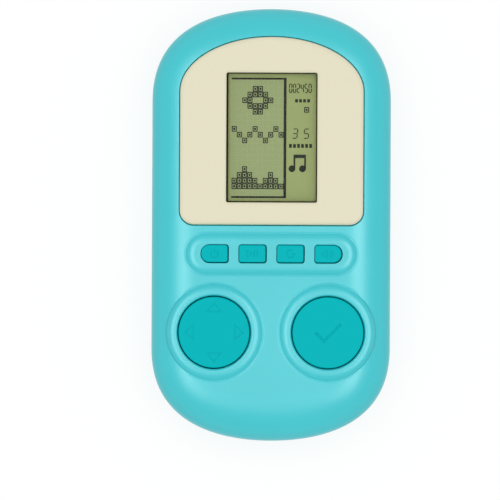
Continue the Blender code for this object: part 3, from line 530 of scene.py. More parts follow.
def from_capsule(xy, x, y, width, height):
    """Distance outside a capsule, negative inside."""
    along = np.maximum(np.abs(xy[:, 0] - x) - (width - height) / 2, 0.0)
    return np.hypot(along, xy[:, 1] - y) - height / 2


# Profiles

def raise_to(z, top, t):
    """A surface with a rounded form raised out of it; t is 0 on the form's flat top and 1 at its foot."""
    foot = foot_depth * np.clip(1 - (front_flat - z) / foot_fade, 0.0, 1.0)
    share = np.clip(t, 0.0, 1.0)
    form = top - form_crown * share ** 2 - (top - z + foot - form_crown) * share ** 5
    around = z - foot * np.clip(1 - (t - 1) / foot_run, 0.0, 1.0)
    return np.where(t < 1.0, form, around)


def corner(radius, z, across, along, steps):
    """Profile points round a quarter corner, from the end face to the side."""
    turns = np.linspace(0.0, math.pi / 2, steps + 1)
    return [(radius - across * (1 - math.sin(turn)), z - along * (1 - math.cos(turn))) for turn in turns]


def rounded_edge(inset, run, drop):
    """How far a rounded edge lies below its flat face."""
    share = np.clip((run - inset) / run, 0.0, 1.0)
    return drop * (1 - np.sqrt(1 - share ** 2))


def edge_insets(run, rings=edge_rings):
    """Insets of the rings that draw a rounded edge evenly."""
    return run * (1 - np.cos(np.linspace(0.0, math.pi / 2, rings + 1)))


# Closed skins built from triangulated sheets

class Skin:
    """Collects the points, shading directions and faces of one piece."""

    def __init__(self):
        self.points = []
        self.normals = []
        self.faces = []

    def place(self, xyz, normals=None):
        start = len(self.points)
        self.points.extend(map(tuple, xyz))
        self.normals.extend(map(tuple, np.zeros((len(xyz), 3)) if normals is None else normals))
        return list(range(start, len(self.points)))

    def loop(self, xy, z):
        return self.place(np.column_stack([xy, np.broadcast_to(z, len(xy))]))

    def band(self, first, second):
        """Quads between two closed loops with as many points."""
        for index in range(len(first)):
            after = (index + 1) % len(first)
            self.faces.append((first[index], first[after], second[after], second[index]))

    def bands(self, rows, closed=False):
        """Quads from each loop to the next, and from the last to the first of a closed shape."""
        for first, second in zip(rows, rows[1:] + rows[:1] if closed else rows[1:]):
            self.band(first, second)

    def sheet(self, loops, keep, height, spots=None, shade=None):
        """Triangulates loops and loose spots, lifts them, and returns the loops' points."""
        groups = list(loops) + ([spots] if spots is not None and len(spots) else [])
        xy = np.vstack(groups)
        edges = []
        start = 0
        for group in loops:
            count = len(group)
            edges += [(start + index, start + (index + 1) % count) for index in range(count)]
            start += count
        flat = [Vector(point) for point in xy / MM]
        found, _, triangles, origins, _, _ = delaunay_2d_cdt(flat, edges, [], 0, 1e-5, True)
        found = np.array(found) * MM
        triangles = np.array([triangle for triangle in triangles if len(triangle) == 3])
        triangles = triangles[keep(found[triangles].mean(1))]
        used = np.unique(triangles)
        kept = found[used]
        normals = shade(kept) if shade else None
        placed = self.place(np.column_stack([kept, height(kept)]), normals)
        number = dict(zip(used.tolist(), placed))
        self.faces += [tuple(number[corner] for corner in triangle) for triangle in triangles.tolist()]
        back = {}
        for index, group in enumerate(origins):
            if index in number:
                back.update((origin, number[index]) for origin in group)
        result = []
        start = 0
        for group in loops:
            result.append([back.get(start + index) for index in range(len(group))])
            start += len(group)
        return result

    def turned(self, profile, x, y, steps=round_steps):
        """A closed shape turned about the upright line at x, y, where its profile starts and ends."""
        rings = [self.loop(circle(x, y, radius, steps), z) for radius, z in profile[1:-1]]
        self.bands(rings)
        for ring, (_, z) in ((rings[0], profile[0]), (rings[-1], profile[-1])):
            tip = self.place([(x, y, z)])[0]
            self.faces += [(ring[index], ring[(index + 1) % steps], tip) for index in range(steps)]

    def ring(self, profile, x, y, steps=64):
        """A closed profile turned about the upright line at x, y, which it doesn't touch."""
        rings = [self.loop(circle(x, y, radius, steps), z) for radius, z in profile]
        self.bands(rings, closed=True)

    def object(self, name):
        mesh = bpy.data.meshes.new(name)
        mesh.from_pydata(self.points, [], self.faces)
        return finish_mesh(name, mesh, self.normals)


def slopes(height, step=0.01 * MM):
    """Shading directions of a surface that is given by its height."""
    def shade(xy):
        across = np.array((step, 0.0))
        along = np.array((0.0, step))
        fall_x = (height(xy + across) - height(xy - across)) / (2 * step)
        fall_y = (height(xy + along) - height(xy - along)) / (2 * step)
        return unit(np.column_stack([-fall_x, -fall_y, np.ones(len(xy))]))
    return shade


def aim(skin, indices, directions):
    """Gives the points of an edge a level shading direction."""
    for index, (x, y) in zip(indices, directions):
        skin.normals[index] = (x, y, 0.0)


def within(rim, holes):
    """Keeps what lies inside the rim and outside the holes."""
    def test(xy):
        kept = inside(rim, xy)
        for loop in holes:
            kept &= ~inside(loop, xy)
        return kept
    return test


def level(z):
    return lambda xy: np.full(len(xy), z)


def finish_mesh(name, mesh, normals=None, sharp=35.0):
    """Turns faces outwards, shades them smooth between sharp edges and makes the object."""
    shape = bmesh.new()
    shape.from_mesh(mesh)
    bmesh.ops.recalc_face_normals(shape, faces=shape.faces)
    shape.to_mesh(mesh)
    shape.free()
    mesh.shade_smooth()
    mesh.set_sharp_from_angle(angle=math.radians(sharp))
    if normals:
        mesh.normals_split_custom_set_from_vertices(normals)
    return new_item(name, mesh)


# Solids joined and cut with Booleans

def new_item(name, data):
    item = bpy.data.objects.new(name, data)
    bpy.context.scene.collection.objects.link(item)
    return item


def mesh_of(name, shape):
    mesh = bpy.data.meshes.new(name)
    shape.to_mesh(mesh)
    shape.free()
    return mesh


def boxes(name, corners):
    """One mesh of boxes, each given by its low and high corner."""
    shape = bmesh.new()
    for low, high in corners:
        size = Vector(high) - Vector(low)
        matrix = Matrix.Translation(Vector(low) + size / 2) @ Matrix.Diagonal((*size, 1.0))
        bmesh.ops.create_cube(shape, size=1.0, matrix=matrix)
    return new_item(name, mesh_of(name, shape))


def rods(name, profile, places, steps=48):
    """Upright turned shapes of one profile at several places, as one mesh."""
    skin = Skin()
    for x, y in places:
        skin.turned(profile, x, y, steps)
    return skin.object(name)


def slab(name, low, high, inset, run=0.0, drop=0.0, rings=edge_rings):
    """A slab over the case outline, both rims rounded by run across and drop along z."""
    skin = Skin()
    loops = []
    insets = edge_insets(run, rings) if run else np.zeros(1)
    falls = rounded_edge(insets, run, drop) if run else np.zeros(1)
    for step, fall in zip(insets[::-1], falls[::-1]):
        loops.append(skin.loop(case_outline(inset + step)[0], high - fall))
    for step, fall in zip(insets, falls):
        loops.append(skin.loop(case_outline(inset + step)[0], low + fall))
    skin.bands(loops)
    skin.faces += [tuple(loops[0]), tuple(loops[-1])]
    return skin.object(name)


def combine(target, operation, others):
    for other in others:
        step = target.modifiers.new(operation.lower(), 'BOOLEAN')
        step.operation = operation
        step.solver = 'EXACT'
        step.object = other
        other.hide_render = True
    return target


def add(target, *others):
    return combine(target, 'UNION', others)


def cut(target, *others):
    return combine(target, 'DIFFERENCE', others)


def keep(target, *others):
    return combine(target, 'INTERSECT', others)


def settle(item, name, sharp=35.0):
    """Makes a worked shape a plain mesh, removes its cutters and shades it by the size of its faces."""
    weld = 0.002 * MM
    sliver = 0.001 * MM
    level_face = 0.9999
    cutters = list(used_by(item))
    mesh = evaluated(item)
    for spent in [item] + cutters:
        bpy.data.objects.remove(spent, do_unlink=True)
    mesh.materials.clear()
    shape = bmesh.new()
    shape.from_mesh(mesh)
    bmesh.ops.remove_doubles(shape, verts=shape.verts, dist=weld)
    bmesh.ops.dissolve_degenerate(shape, dist=sliver, edges=shape.edges)
    bmesh.ops.holes_fill(shape, edges=[edge for edge in shape.edges if edge.is_boundary], sides=0)
    shape.to_mesh(mesh)
    shape.free()
    mesh.shade_smooth()
    mesh.set_sharp_from_angle(angle=math.radians(sharp))
    rough = new_item(name + "_rough", mesh)
    weighted = rough.modifiers.new("shade", 'WEIGHTED_NORMAL')
    weighted.keep_sharp = True
    shaded = evaluated(rough)
    bpy.data.objects.remove(rough, do_unlink=True)
    shaded.name = name
    directions = [tuple(loop.vector) for loop in shaded.corner_normals]
    for face in shaded.polygons:
        if abs(face.normal.z) > level_face:
            for index in face.loop_indices:
                directions[index] = tuple(face.normal)
    shaded.normals_split_custom_set(directions)
    return new_item(name, shaded)


def evaluated(item):
    """What an item's modifiers make, as a mesh of its own."""
    bpy.context.view_layer.update()
    graph = bpy.context.evaluated_depsgraph_get()
    return bpy.data.meshes.new_from_object(item.evaluated_get(graph))


def used_by(item):
    """Every object that the item's modifiers use, and theirs."""
    for step in item.modifiers:
        other = getattr(step, "object", None)
        if other:
            yield other
            yield from used_by(other)


def dress(piece, body, slot, material, *nodes):
    """Gives a piece its finish and its body, and hides the nodes that it stands for; the slot is not used."""
    piece.data.materials.clear()
    piece.data.materials.append(material)
    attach(piece, body)
    if nodes:
        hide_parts(*nodes)
    return piece


# Materials

def set_inputs(tree, item, inputs):
    """Links each input that is given as a socket and sets any other value."""
    for name, value in inputs.items():
        if isinstance(value, bpy.types.NodeSocket):
            tree.links.new(value, item.inputs[name])
        else:
            item.inputs[name].default_value = value


def add_node(tree, kind, inputs=None, **settings):
    """Adds a node with its settings and inputs."""
    item = tree.nodes.new(kind)
    for name, value in settings.items():
        setattr(item, name, value)
    set_inputs(tree, item, inputs or {})
    return item


def maths(tree, operation, *values):
    return add_node(tree, 'ShaderNodeMath', dict(enumerate(values)), operation=operation).outputs[0]


def new_material(name, inputs):
    """A material with its Principled shader's own sockets set."""
    material = bpy.data.materials.new(name)
    material.use_nodes = True
    shader = material.node_tree.nodes["Principled BSDF"]
    set_inputs(material.node_tree, shader, inputs)
    return material, material.node_tree, shader


def place_of(tree):
    return add_node(tree, 'ShaderNodeTexCoord').outputs["Object"]


def noise(tree, size, detail=2.0, rough=0.5):
    """Noise whose grains are about size across, in metres."""
    return add_node(
        tree, 'ShaderNodeTexNoise',
        {"Vector": place_of(tree), "Scale": 1.0 / size, "Detail": detail, "Roughness": rough},
    ).outputs["Fac"]


def spread(tree, value, low, high):
    """Maps noise to a range and holds it there."""
    return add_node(tree, 'ShaderNodeMapRange', {
        "Value": value, "From Min": noise_low, "From Max": noise_high, "To Min": low, "To Max": high,
    }).outputs["Result"]


def bumps(tree, height, strength, depth):
    inputs = {"Height": height, "Strength": strength, "Distance": depth}
    return add_node(tree, 'ShaderNodeBump', inputs).outputs["Normal"]


def mix_colours(tree, factor, first, second):
    return add_node(tree, 'ShaderNodeMix', {0: factor, 6: first, 7: second}, data_type='RGBA').outputs[2]


def tint(tree, colour_value, share, factor):
    """A colour that wanders between a darker and a lighter shade."""
    low = [*[channel * (1 - share) for channel in colour_value], 1.0]
    high = [*[min(1.0, channel * (1 + share)) for channel in colour_value], 1.0]
    return mix_colours(tree, factor, low, high)


def moulded_plastic(name, colour_value, roughness, grain, depth, specular=0.5):
    """ABS from a spark-textured mould: a fine grain that breaks up reflections, slightly uneven gloss."""
    material, tree, shader = new_material(name, {"IOR": abs_ior, "Specular IOR Level": specular})
    flow = noise(tree, flow_size, 2.0)
    set_inputs(tree, shader, {
        "Normal": bumps(tree, noise(tree, grain, 1.0), grain_strength, depth),
        "Roughness": spread(tree, flow, roughness - gloss_below, roughness + gloss_above),
        "Base Color": tint(tree, colour_value, flow_tint, flow),
    })
    return material


def plain_finish(name, code, roughness, metallic, grain, share):
    """A surface with a fine grain in its colour and gloss, for small pieces and those inside the case."""
    material, tree, shader = new_material(name, {"Metallic": metallic})
    pattern = noise(tree, grain, 3.0)
    set_inputs(tree, shader, {
        "Base Color": tint(tree, linear(code), share, pattern),
        "Roughness": spread(tree, pattern, roughness - inner_gloss, roughness + inner_gloss),
        "Normal": bumps(tree, pattern, inner_strength, inner_depth),
    })
    return material


# Case front

def disc_places():
    return [(-disc_x, disc_row), (disc_x, disc_row)]


def front_height(sizes):
    """Height of the case front over a point in plan."""
    rim = case_outline()[0]
    openings = [hole_outline(index) for index in range(key_count)] + [panel_outline(gap)]
    front_drop = front_flat - parting - side_band
    crest = hole_radius + sizes.collar_lip
    plateau = pad_plateau(sizes)

    def height(xy):
        z = front_flat - rounded_edge(distance_to(rim, xy), sizes.front_edge, front_drop)
        z = raise_to(z, pad_top, from_capsule(xy, 0.0, pad_row, *plateau) / sizes.pad_slope)
        for x, y in disc_places():
            radius = from_centre(xy, x, y)
            z = raise_to(z, collar_top, (radius - crest) / sizes.collar_slope)
            z = z - rounded_edge(radius - hole_radius, sizes.collar_lip, sizes.collar_lip)
        for loop in openings:
            z = z - rounded_edge(distance_to(loop, xy), sizes.small_lip, sizes.small_lip)
        return z

    return height


def pad_plateau(sizes):
    """Width and height of the flat top of the key pad."""
    slope = 2 * sizes.pad_slope
    return pad_width - slope, pad_height - slope


def hole_outline(index, grow=0.0):
    """Key hole; its keys sit a little up and to the left in it."""
    return key_outline(index, key_gap + grow) + hole_shift


def front_loops(sizes):
    """Loops that draw the case front: its rim, collars, key pad and openings."""
    rim = case_outline()[0]
    crest = hole_radius + sizes.collar_lip
    lips = sizes.collar_lip * (1 - np.cos(np.linspace(0.0, math.pi / 2, 2 * lip_steps + 1)))
    discs = []
    for x, y in disc_places():
        discs += [circle(x, y, hole_radius + lip) for lip in lips]
        discs += [circle(x, y, crest + step * sizes.collar_slope) for step in form_steps[1:]]
    pads = [capsule(0.0, pad_row, *pad_plateau(sizes), step * sizes.pad_slope) for step in form_steps]
    lips = [*edge_insets(sizes.small_lip, lip_steps - 1), 1.3 * sizes.small_lip]
    keys = [hole_outline(index, lip) for index in range(key_count) for lip in lips]
    recess = [panel_outline(gap + lip) for lip in lips]
    return [rim], discs, pads, keys, recess


def front_spots(sizes, around):
    """Points on the rings of the rounded edge, away from what is raised or cut there."""
    rings = np.vstack([case_outline(inset)[0] for inset in edge_insets(sizes.front_edge)[1:]])
    clear = 0.5 * MM
    far = np.ones(len(rings), bool)
    for loop in around:
        far &= ~inside(loop, rings) & (distance_to(loop, rings) > clear)
    return rings[far]


def inner_height(sizes):
    """Height of the inner face of the case front."""
    rim = case_outline()[0]
    floor = panel_outline(sizes.panel_edge)
    edge = 0.02 * MM

    def height(xy):
        inset = distance_to(rim, xy) - wall
        z = front_inner - rounded_edge(inset, sizes.front_edge - wall, front_inner_drop)
        for x, y in disc_places():
            z = np.where(from_centre(xy, x, y) < pocket_radius + edge, front_inner, z)
        under = inside(floor, xy) | (distance_to(floor, xy) < edge)
        return np.where(under, np.minimum(z, floor_under), z)

    return height


def opening_outline():
    width = window_width + 2 * lens_border + gap
    height = window_height + 2 * lens_border + gap
    return rounded_box(0.0, window_middle, width, height, gap, gap)


def front_outside(skin, sizes):
    """Draws the outer face; returns the points of its rim, its holes, and the points of each hole."""
    rims, discs, pads, keys, recess = front_loops(sizes)
    loops = rims + discs + pads + keys + recess
    per_disc = len(discs) // 2
    per_key = len(keys) // key_count
    holes = [discs[0], discs[per_disc]] + keys[::per_key] + [recess[0]]
    around = [discs[per_disc - 1], discs[-1], pads[-1], recess[-1]]
    height = front_height(sizes)
    spots = front_spots(sizes, around)
    placed = skin.sheet(loops, within(rims[0], holes), height, spots, slopes(height))
    edge_of = {id(loop): indices for loop, indices in zip(loops, placed)}
    edges = [edge_of[id(hole)] for hole in holes]
    for loop, indices in zip(holes, edges):
        aim(skin, indices, -outward_of(loop))
    aim(skin, placed[0], case_outline()[1])
    return placed[0], holes, edges


def front_inside(skin, sizes, holes):
    """Draws the inner face; returns the points of its rim and of each hole."""
    start = math.asin((relief_top - parting - side_band / 2) / front_inner_drop)
    run = sizes.front_edge - wall
    turns = np.linspace(start, math.pi / 2, edge_rings + 1)
    rings = [case_outline(wall + run * (1 - math.cos(turn)))[0] for turn in turns]
    steps = (0.0, step_run)
    pockets = [circle(x, y, pocket_radius + step) for x, y in disc_places() for step in steps]
    floor_edge = [panel_outline(sizes.panel_edge + step) for step in steps]
    spots = np.vstack(rings[1:])
    for loop in pockets + floor_edge:
        spots = spots[distance_to(loop, spots) > gap]
    loops = rings[:1] + holes + pockets + floor_edge
    placed = skin.sheet(loops, within(rings[0], holes), inner_height(sizes), spots)
    return placed[0], placed[1:len(holes) + 1]


def front_case(sizes):
    """The front shell: rounded edge, two collars, key pad, panel recess, and its inner face."""
    skin = Skin()
    rim, holes, edges = front_outside(skin, sizes)
    bottom = parting + gap / 2
    relief = case_outline(wall - lip_thickness - gap)[0]
    skirt = [skin.loop(case_outline()[0], bottom), skin.loop(relief, bottom), skin.loop(relief, relief_top)]
    recess = holes[-1]
    opening = opening_outline()
    inner_rim, inner_edges = front_inside(skin, sizes, holes[:-1] + [opening])
    skin.bands([rim, *skirt, inner_rim])
    for upper, lower in zip(edges[:-1], inner_edges):
        skin.band(upper, lower)
    shelf = skin.sheet([recess, opening], within(recess, [opening]), level(floor_top))
    skin.band(edges[-1], shelf[0])
    skin.band(shelf[1], inner_edges[-1])
    for x, y in boss_places:
        screw_boss(skin, x, y, inner_height(sizes))
    return skin.object("front_case")


def screw_boss(skin, x, y, under):
    """A tube from the parting line up into the case front, its top just inside the wall."""
    outer, bore = (circle(x, y, radius, 32) for radius in (boss_radius, pilot_radius))
    rows = [
        skin.loop(outer, parting), skin.loop(outer, under(outer) + boss_root),
        skin.loop(bore, under(bore) + boss_root), skin.loop(bore, parting),
    ]
    skin.bands(rows, closed=True)


class GAME_OT_front_case(bpy.types.Operator):
    """Builds the front shell with its collars and key pad"""
    bl_idname = "game.front_case"
    bl_label = "Front case"

    def execute(self, context):
        colours = context.scene.game_colours
        # Satin ABS: a soft broad highlight along the rounded edges, hardly any mirror.
        material = moulded_plastic(
            "moulded_case_abs", colours.case, roughness=0.32, grain=0.5 * MM, depth=0.002 * MM
        )
        dress(front_case(context.scene.game_sizes), "case", "case_plastic", material, "front_shell")
        return {'FINISHED'}


# Screen

def window_outline(grow=0.0):
    corner = window_corner + grow
    return rounded_box(0.0, window_middle, window_width + 2 * grow, window_height + 2 * grow, corner, corner)


def panel_cover(sizes):
    """The cream panel: rounded outer edge and a soft lip round the window."""
    skin = Skin()
    rims = [panel_outline(-inset) for inset in edge_insets(sizes.panel_edge, 8)]
    lips = [window_outline(inset) for inset in edge_insets(sizes.window_lip, 8)]
    rim, window = rims[0], lips[0]

    def height(xy):
        z = panel_face - rounded_edge(distance_to(rim, xy), sizes.panel_edge, sizes.panel_drop)
        return z - rounded_edge(distance_to(window, xy), sizes.window_lip, sizes.window_drop)

    top = skin.sheet(rims + lips, within(rim, [window]), height, None, slopes(height))
    under = skin.sheet([rim, window], within(rim, [window]), level(panel_under))
    aim(skin, top[0], outward_of(rim))
    aim(skin, top[len(rims)], -outward_of(window))
    skin.band(top[0], under[0])
    skin.band(top[len(rims)], under[1])
    return skin.object("panel_cover")


class GAME_OT_panel(bpy.types.Operator):
    """Builds the cream panel round the display"""
    bl_idname = "game.panel"
    bl_label = "Screen panel"

    def execute(self, context):
        colours = context.scene.game_colours
        # Cream ABS with a matt mould finish: an even pale face, hardly any sheen on its rounded rim.
        material = moulded_plastic(
            "moulded_cream_abs", colours.panel, roughness=0.6, grain=0.5 * MM, depth=0.003 * MM, specular=0.3
        )
        dress(panel_cover(context.scene.game_sizes), "case", "panel_plastic", material, "screen_panel")
        return {'FINISHED'}


# Display

def run_tree(name, points, tree, values, attributes=None):
    """Runs a node tree on loose points and returns what it makes as a plain object."""
    mesh = bpy.data.meshes.new(name + "_points")
    mesh.from_pydata(points, [], [])
    for label, numbers in (attributes or {}).items():
        mesh.attributes.new(label, 'FLOAT', 'POINT').data.foreach_set("value", numbers)
    source = new_item(name + "_points", mesh)
    step = source.modifiers.new("nodes", 'NODES')
    step.node_group = tree
    for socket in tree.interface.items_tree:
        if socket.in_out == 'INPUT' and socket.name in values:
            step[socket.identifier] = values[socket.name]
    made = evaluated(source)
    bpy.data.objects.remove(source, do_unlink=True)
    for label in list(attributes or {}):
        if label in made.attributes:
            made.attributes.remove(made.attributes[label])
    made.name = name
    return finish_mesh(name, made)


def new_tree(name, inputs):
    """A geometry tree with a geometry socket at both ends and these named inputs."""
    tree = bpy.data.node_groups.new(name, 'GeometryNodeTree')
    tree.interface.new_socket("Geometry", in_out='INPUT', socket_type='NodeSocketGeometry')
    tree.interface.new_socket("Geometry", in_out='OUTPUT', socket_type='NodeSocketGeometry')
    for label, kind in inputs.items():
        tree.interface.new_socket(label, in_out='INPUT', socket_type='NodeSocket' + kind)
    return tree, add_node(tree, 'NodeGroupInput').outputs


def close_tree(tree, given, shape, turn=None):
    """Puts a shape on every point, turned or not, in the given material."""
    inputs = {"Points": given["Geometry"], "Instance": shape}
    if turn is not None:
        inputs["Rotation"] = turn
    placed = add_node(tree, 'GeometryNodeInstanceOnPoints', inputs).outputs["Instances"]
    real = add_node(tree, 'GeometryNodeRealizeInstances', {"Geometry": placed}).outputs[0]
    done = add_node(tree, 'GeometryNodeSetMaterial', {"Geometry": real, "Material": given["Material"]})
    add_node(tree, 'NodeGroupOutput', {"Geometry": done.outputs[0]})
    return tree


def cube(tree, size):
    return add_node(tree, 'GeometryNodeMeshCube', {"Size": size}).outputs["Mesh"]


def boolean(tree, operation, first, *others):
    """Joins meshes, or cuts the others out of the first."""
    step = add_node(tree, 'GeometryNodeMeshBoolean', operation=operation, solver='EXACT')
    if first is not None:
        tree.links.new(first, step.inputs[0])
    for other in others:
        tree.links.new(other, step.inputs[1])
    return step.outputs["Mesh"]


def block_tree():
    """One display block, a square ring with a dot in it, on every point."""
    tree, given = new_tree("display_blocks", {
        "Block": 'Vector', "Hole": 'Vector', "Dot": 'Vector', "Material": 'Material',
    })
    block, hole, dot = [cube(tree, given[label]) for label in ("Block", "Hole", "Dot")]
    both = add_node(tree, 'GeometryNodeJoinGeometry', {0: boolean(tree, 'DIFFERENCE', block, hole)})
    tree.links.new(dot, both.inputs[0])
    return close_tree(tree, given, both.outputs[0])


def segment_tree():
    """One bar on every point, turned by the point's own angle."""
    tree, given = new_tree("display_segments", {"Bar": 'Vector', "Material": 'Material'})
    turn = add_node(tree, 'GeometryNodeInputNamedAttribute', {"Name": "turn"}, data_type='FLOAT').outputs[0]
    angles = add_node(tree, 'ShaderNodeCombineXYZ', {"Z": turn}).outputs[0]
    return close_tree(tree, given, cube(tree, given["Bar"]), angles)


def block_points():
    """Centres of the lit blocks: a plain pattern of a diamond, a zigzag and a few hills."""
    return [
        (field_left + column * field_pitch_x, field_top - row * field_pitch_y, ink_level)
        for row, text in lit_rows.items()
        for column, sign in enumerate(text)
        if sign == "#"
    ]


def digit_bars(text, x, y, pitch, width, height, lean):
    """Places and angles of the bars of seven-segment digits, split into level and upright ones."""
    half = height / 4
    flat = {"a": 2 * half, "g": 0.0, "d": -2 * half}
    upright = {"f": (-1, half), "b": (1, half), "e": (-1, -half), "c": (1, -half)}
    level_bars = []
    upright_bars = []
    for index, sign in enumerate(text):
        middle = x + index * pitch
        for bar in lit_segments[sign]:
            if bar in flat:
                level_bars.append((middle + lean * flat[bar], y + flat[bar], ink_level))
            else:
                side, rise = upright[bar]
                level_x = middle + side * width / 2 + lean * rise
                upright_bars.append((level_x, y + rise, ink_level))
    return level_bars, upright_bars


def display_lines():
    """Frame lines of the block field."""
    low = ink_level - ink_thickness / 2
    high = ink_level + ink_thickness / 2
    upper = line_top - field_line
    lower = line_bottom + field_line
    corners = [
        ((line_left, upper, low), (line_right, line_top, high)),
        ((line_left, line_bottom, low), (line_right, lower, high)),
        ((line_right - field_rule, lower, low), (line_right, upper, high)),
    ]
    return boxes("display_lines", corners)


def display_signs():
    """A plain note sign, and two rows of bars like a level gauge."""
    low = ink_level - ink_thickness / 2
    high = ink_level + ink_thickness / 2
    corners = []
    for x, y, count, pitch, width, height in gauge_rows:
        for index in range(count):
            left = x + index * pitch
            corners.append(((left, y, low), (left + width, y + height, high)))
    stem = note_size / 12
    head = 1.9 * stem
    for side in (-1, 1):
        x = note_x + side * note_size / 4
        corners.append(((x - stem, note_y, low), (x, note_y + note_size / 2, high)))
    beam = note_y + note_size / 2
    left = note_x - note_size / 4 - stem
    corners.append(((left, beam, low), (note_x + note_size / 4, beam + 2 * stem, high)))
    lines = boxes("display_signs", corners)
    heads = Skin()
    for side in (-1, 1):
        x = note_x + side * note_size / 4 - head
        heads.turned([(0.0, high), (head, high), (head, low), (0.0, low)], x, note_y, 24)
    dots = heads.object("note_heads")
    return join_objects("display_signs", lines, dots)


def display_digits(ink):
    """Seven-segment numbers; the level and the upright bars of each are a piece of their own."""
    tree = segment_tree()
    pieces = []
    for name, digits, x, y, pitch, width, height, lean in digit_rows:
        level_bars, upright_bars = digit_bars(digits, x, y, pitch, width, height, lean)
        upright_turn = math.pi / 2 - math.atan(lean)
        for kind, bars, long, turn in (
            ("level", level_bars, width, 0.0), ("upright", upright_bars, height / 2, upright_turn),
        ):
            values = {"Bar": (segment_share * long, segment_width, ink_thickness), "Material": ink}
            turns = {"turn": [turn] * len(bars)}
            pieces.append(run_tree(name + "_" + kind, bars, tree, values, turns))
    return pieces


def join_objects(name, *items):
    """Puts several meshes into one piece."""
    shape = bmesh.new()
    for item in items:
        shape.from_mesh(item.data)
        bpy.data.objects.remove(item, do_unlink=True)
    return finish_mesh(name, mesh_of(name, shape))


def display_film(colours):
    """Twisted-film display: greenish grey, a greyer block field with a faint trace of its unlit blocks."""
    material, tree, shader = new_material("display_polariser_film", matt_print)
    place = place_of(tree)
    parts = add_node(tree, 'ShaderNodeSeparateXYZ', {0: place}).outputs
    near_x = maths(tree, 'COMPARE', parts["X"], (line_right + line_left) / 2, (line_right - line_left) / 2)
    near_y = maths(tree, 'COMPARE', parts["Y"], (line_top + line_bottom) / 2, (line_top - line_bottom) / 2)
    in_field = maths(tree, 'MULTIPLY', near_x, near_y)
    start = (field_left - field_pitch_x / 2, field_top - field_pitch_y / 2, 0.0)
    shift = add_node(tree, 'ShaderNodeVectorMath', {0: place, 1: start}, operation='SUBTRACT')
    unlit = (*[unlit_shade * channel for channel in colours.field], 1.0)
    grid = add_node(tree, 'ShaderNodeTexBrick', {
        "Vector": shift.outputs[0], "Scale": 1.0, "Mortar Size": grid_line, "Mortar Smooth": 0.2,
        "Brick Width": field_pitch_x, "Row Height": field_pitch_y,
        "Color1": unlit, "Color2": unlit, "Mortar": (*colours.field, 1.0),
    }, offset=0.0, squash=1.0)
    bare = tint(tree, colours.display, 0.03, noise(tree, 12.0 * MM, 2.0))
    set_inputs(tree, shader, {"Base Color": mix_colours(tree, in_field, bare, grid.outputs["Color"])})
    return material


def display_ink(name, colour_value):
    """Lit liquid crystal: dark olive, a little uneven, matt."""
    material, tree, shader = new_material(name, matt_print)
    cloud = noise(tree, 1.2 * MM, 2.0)
    set_inputs(tree, shader, {"Base Color": tint(tree, colour_value, 0.15, cloud)})
    return material


def clear_lens():
    """Acrylic sheet: almost all of the display shows through, with a faint even gloss."""
    material, tree, shader = new_material("polished_acrylic_lens", {
        "Base Color": (0.4, 0.42, 0.36, 1.0), "IOR": 1.49, "Alpha": 0.03,
    })
    smear = noise(tree, 9.0 * MM, 2.0)
    set_inputs(tree, shader, {"Roughness": spread(tree, smear, 0.08, 0.16)})
    return material


def print_and_shadow_frame():
    """Thin dark line on the lens along the window's edge: partly print, partly painted shadow of the window's
    edge on the display.
    """
    x = (frame_left - frame_right) / 2
    y = window_middle + (frame_bottom - frame_top) / 2
    width = window_width - frame_left - frame_right
    height = window_height - frame_top - frame_bottom
    outer = window_outline(frame_outer)
    inner = rounded_box(x, y, width, height, frame_top, frame_top)
    high = floor_top + print_thickness
    skin = Skin()
    corners = ((outer, floor_top), (outer, high), (inner, high), (inner, floor_top))
    skin.bands([skin.loop(loop, z) for loop, z in corners], closed=True)
    return skin.object("print_and_shadow_frame")


class GAME_OT_display(bpy.types.Operator):
    """Builds the lit blocks, digits and lines of the display"""
    bl_idname = "game.display"
    bl_label = "Display"

    def execute(self, context):
        colours = context.scene.game_colours
        ink = display_ink("display_lit_segments", colours.ink)
        lines = display_ink("display_frame_lines", colours.lines)
        values = {
            "Block": (block_width, block_height, ink_thickness),
            "Hole": (block_width - 2 * field_ring, block_height - 2 * field_ring, 2 * ink_thickness),
            "Dot": (block_dot_width, block_dot_height, ink_thickness),
            "Material": ink,
        }
        points = block_points() + [(preview_x, preview_y, ink_level)]
        blocks = run_tree("display_blocks", points, block_tree(), values)
        dress(display_lines(), "case", "screen_glass", lines)
        for piece in (blocks, display_signs(), *display_digits(ink)):
            dress(piece, "case", "screen_glass", ink)
        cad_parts["front_polariser"].material_slots[0].material = display_film(colours)
        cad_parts["screen_lens"].material_slots[0].material = clear_lens()
        # Dark olive and matt, the thin line round the window: partly screen-printed ink, partly painted
        # shadow of the window's edge.
        border = display_ink("printed_border_and_painted_shadow", linear("#1E1E10"))
        dress(print_and_shadow_frame(), "case", "lens_plastic", border)
        return {'FINISHED'}


# Keys and discs

def groove(skin, path, z, radius, closed, sides=8):
    """A round cutter along a level path, for a mark pressed into a top face."""
    path = np.array(path)
    count = len(path)
    before = np.roll(path, 1, 0)
    after = np.roll(path, -1, 0)
    if not closed:
        before[0] = 2 * path[0] - path[1]
        after[-1] = 2 * path[-1] - path[-2]
    first = unit(path - before)
    middle = unit(first + unit(after - path))
    stretch = 1 / np.maximum((middle * first).sum(1), 0.4)
    across = np.column_stack([-middle[:, 1], middle[:, 0]]) * stretch[:, None]
    rings = []
    for point, side in zip(path, across):
        turns = (np.arange(sides) + 0.5) * math.tau / sides
        xy = point + np.outer(np.cos(turns), side) * radius
        rings.append(skin.place(np.column_stack([xy, z + radius * np.sin(turns)])))
    for index in range(count if closed else count - 1):
        skin.band(rings[index], rings[(index + 1) % count])
    if not closed:
        skin.faces += [tuple(rings[0]), tuple(rings[-1])]


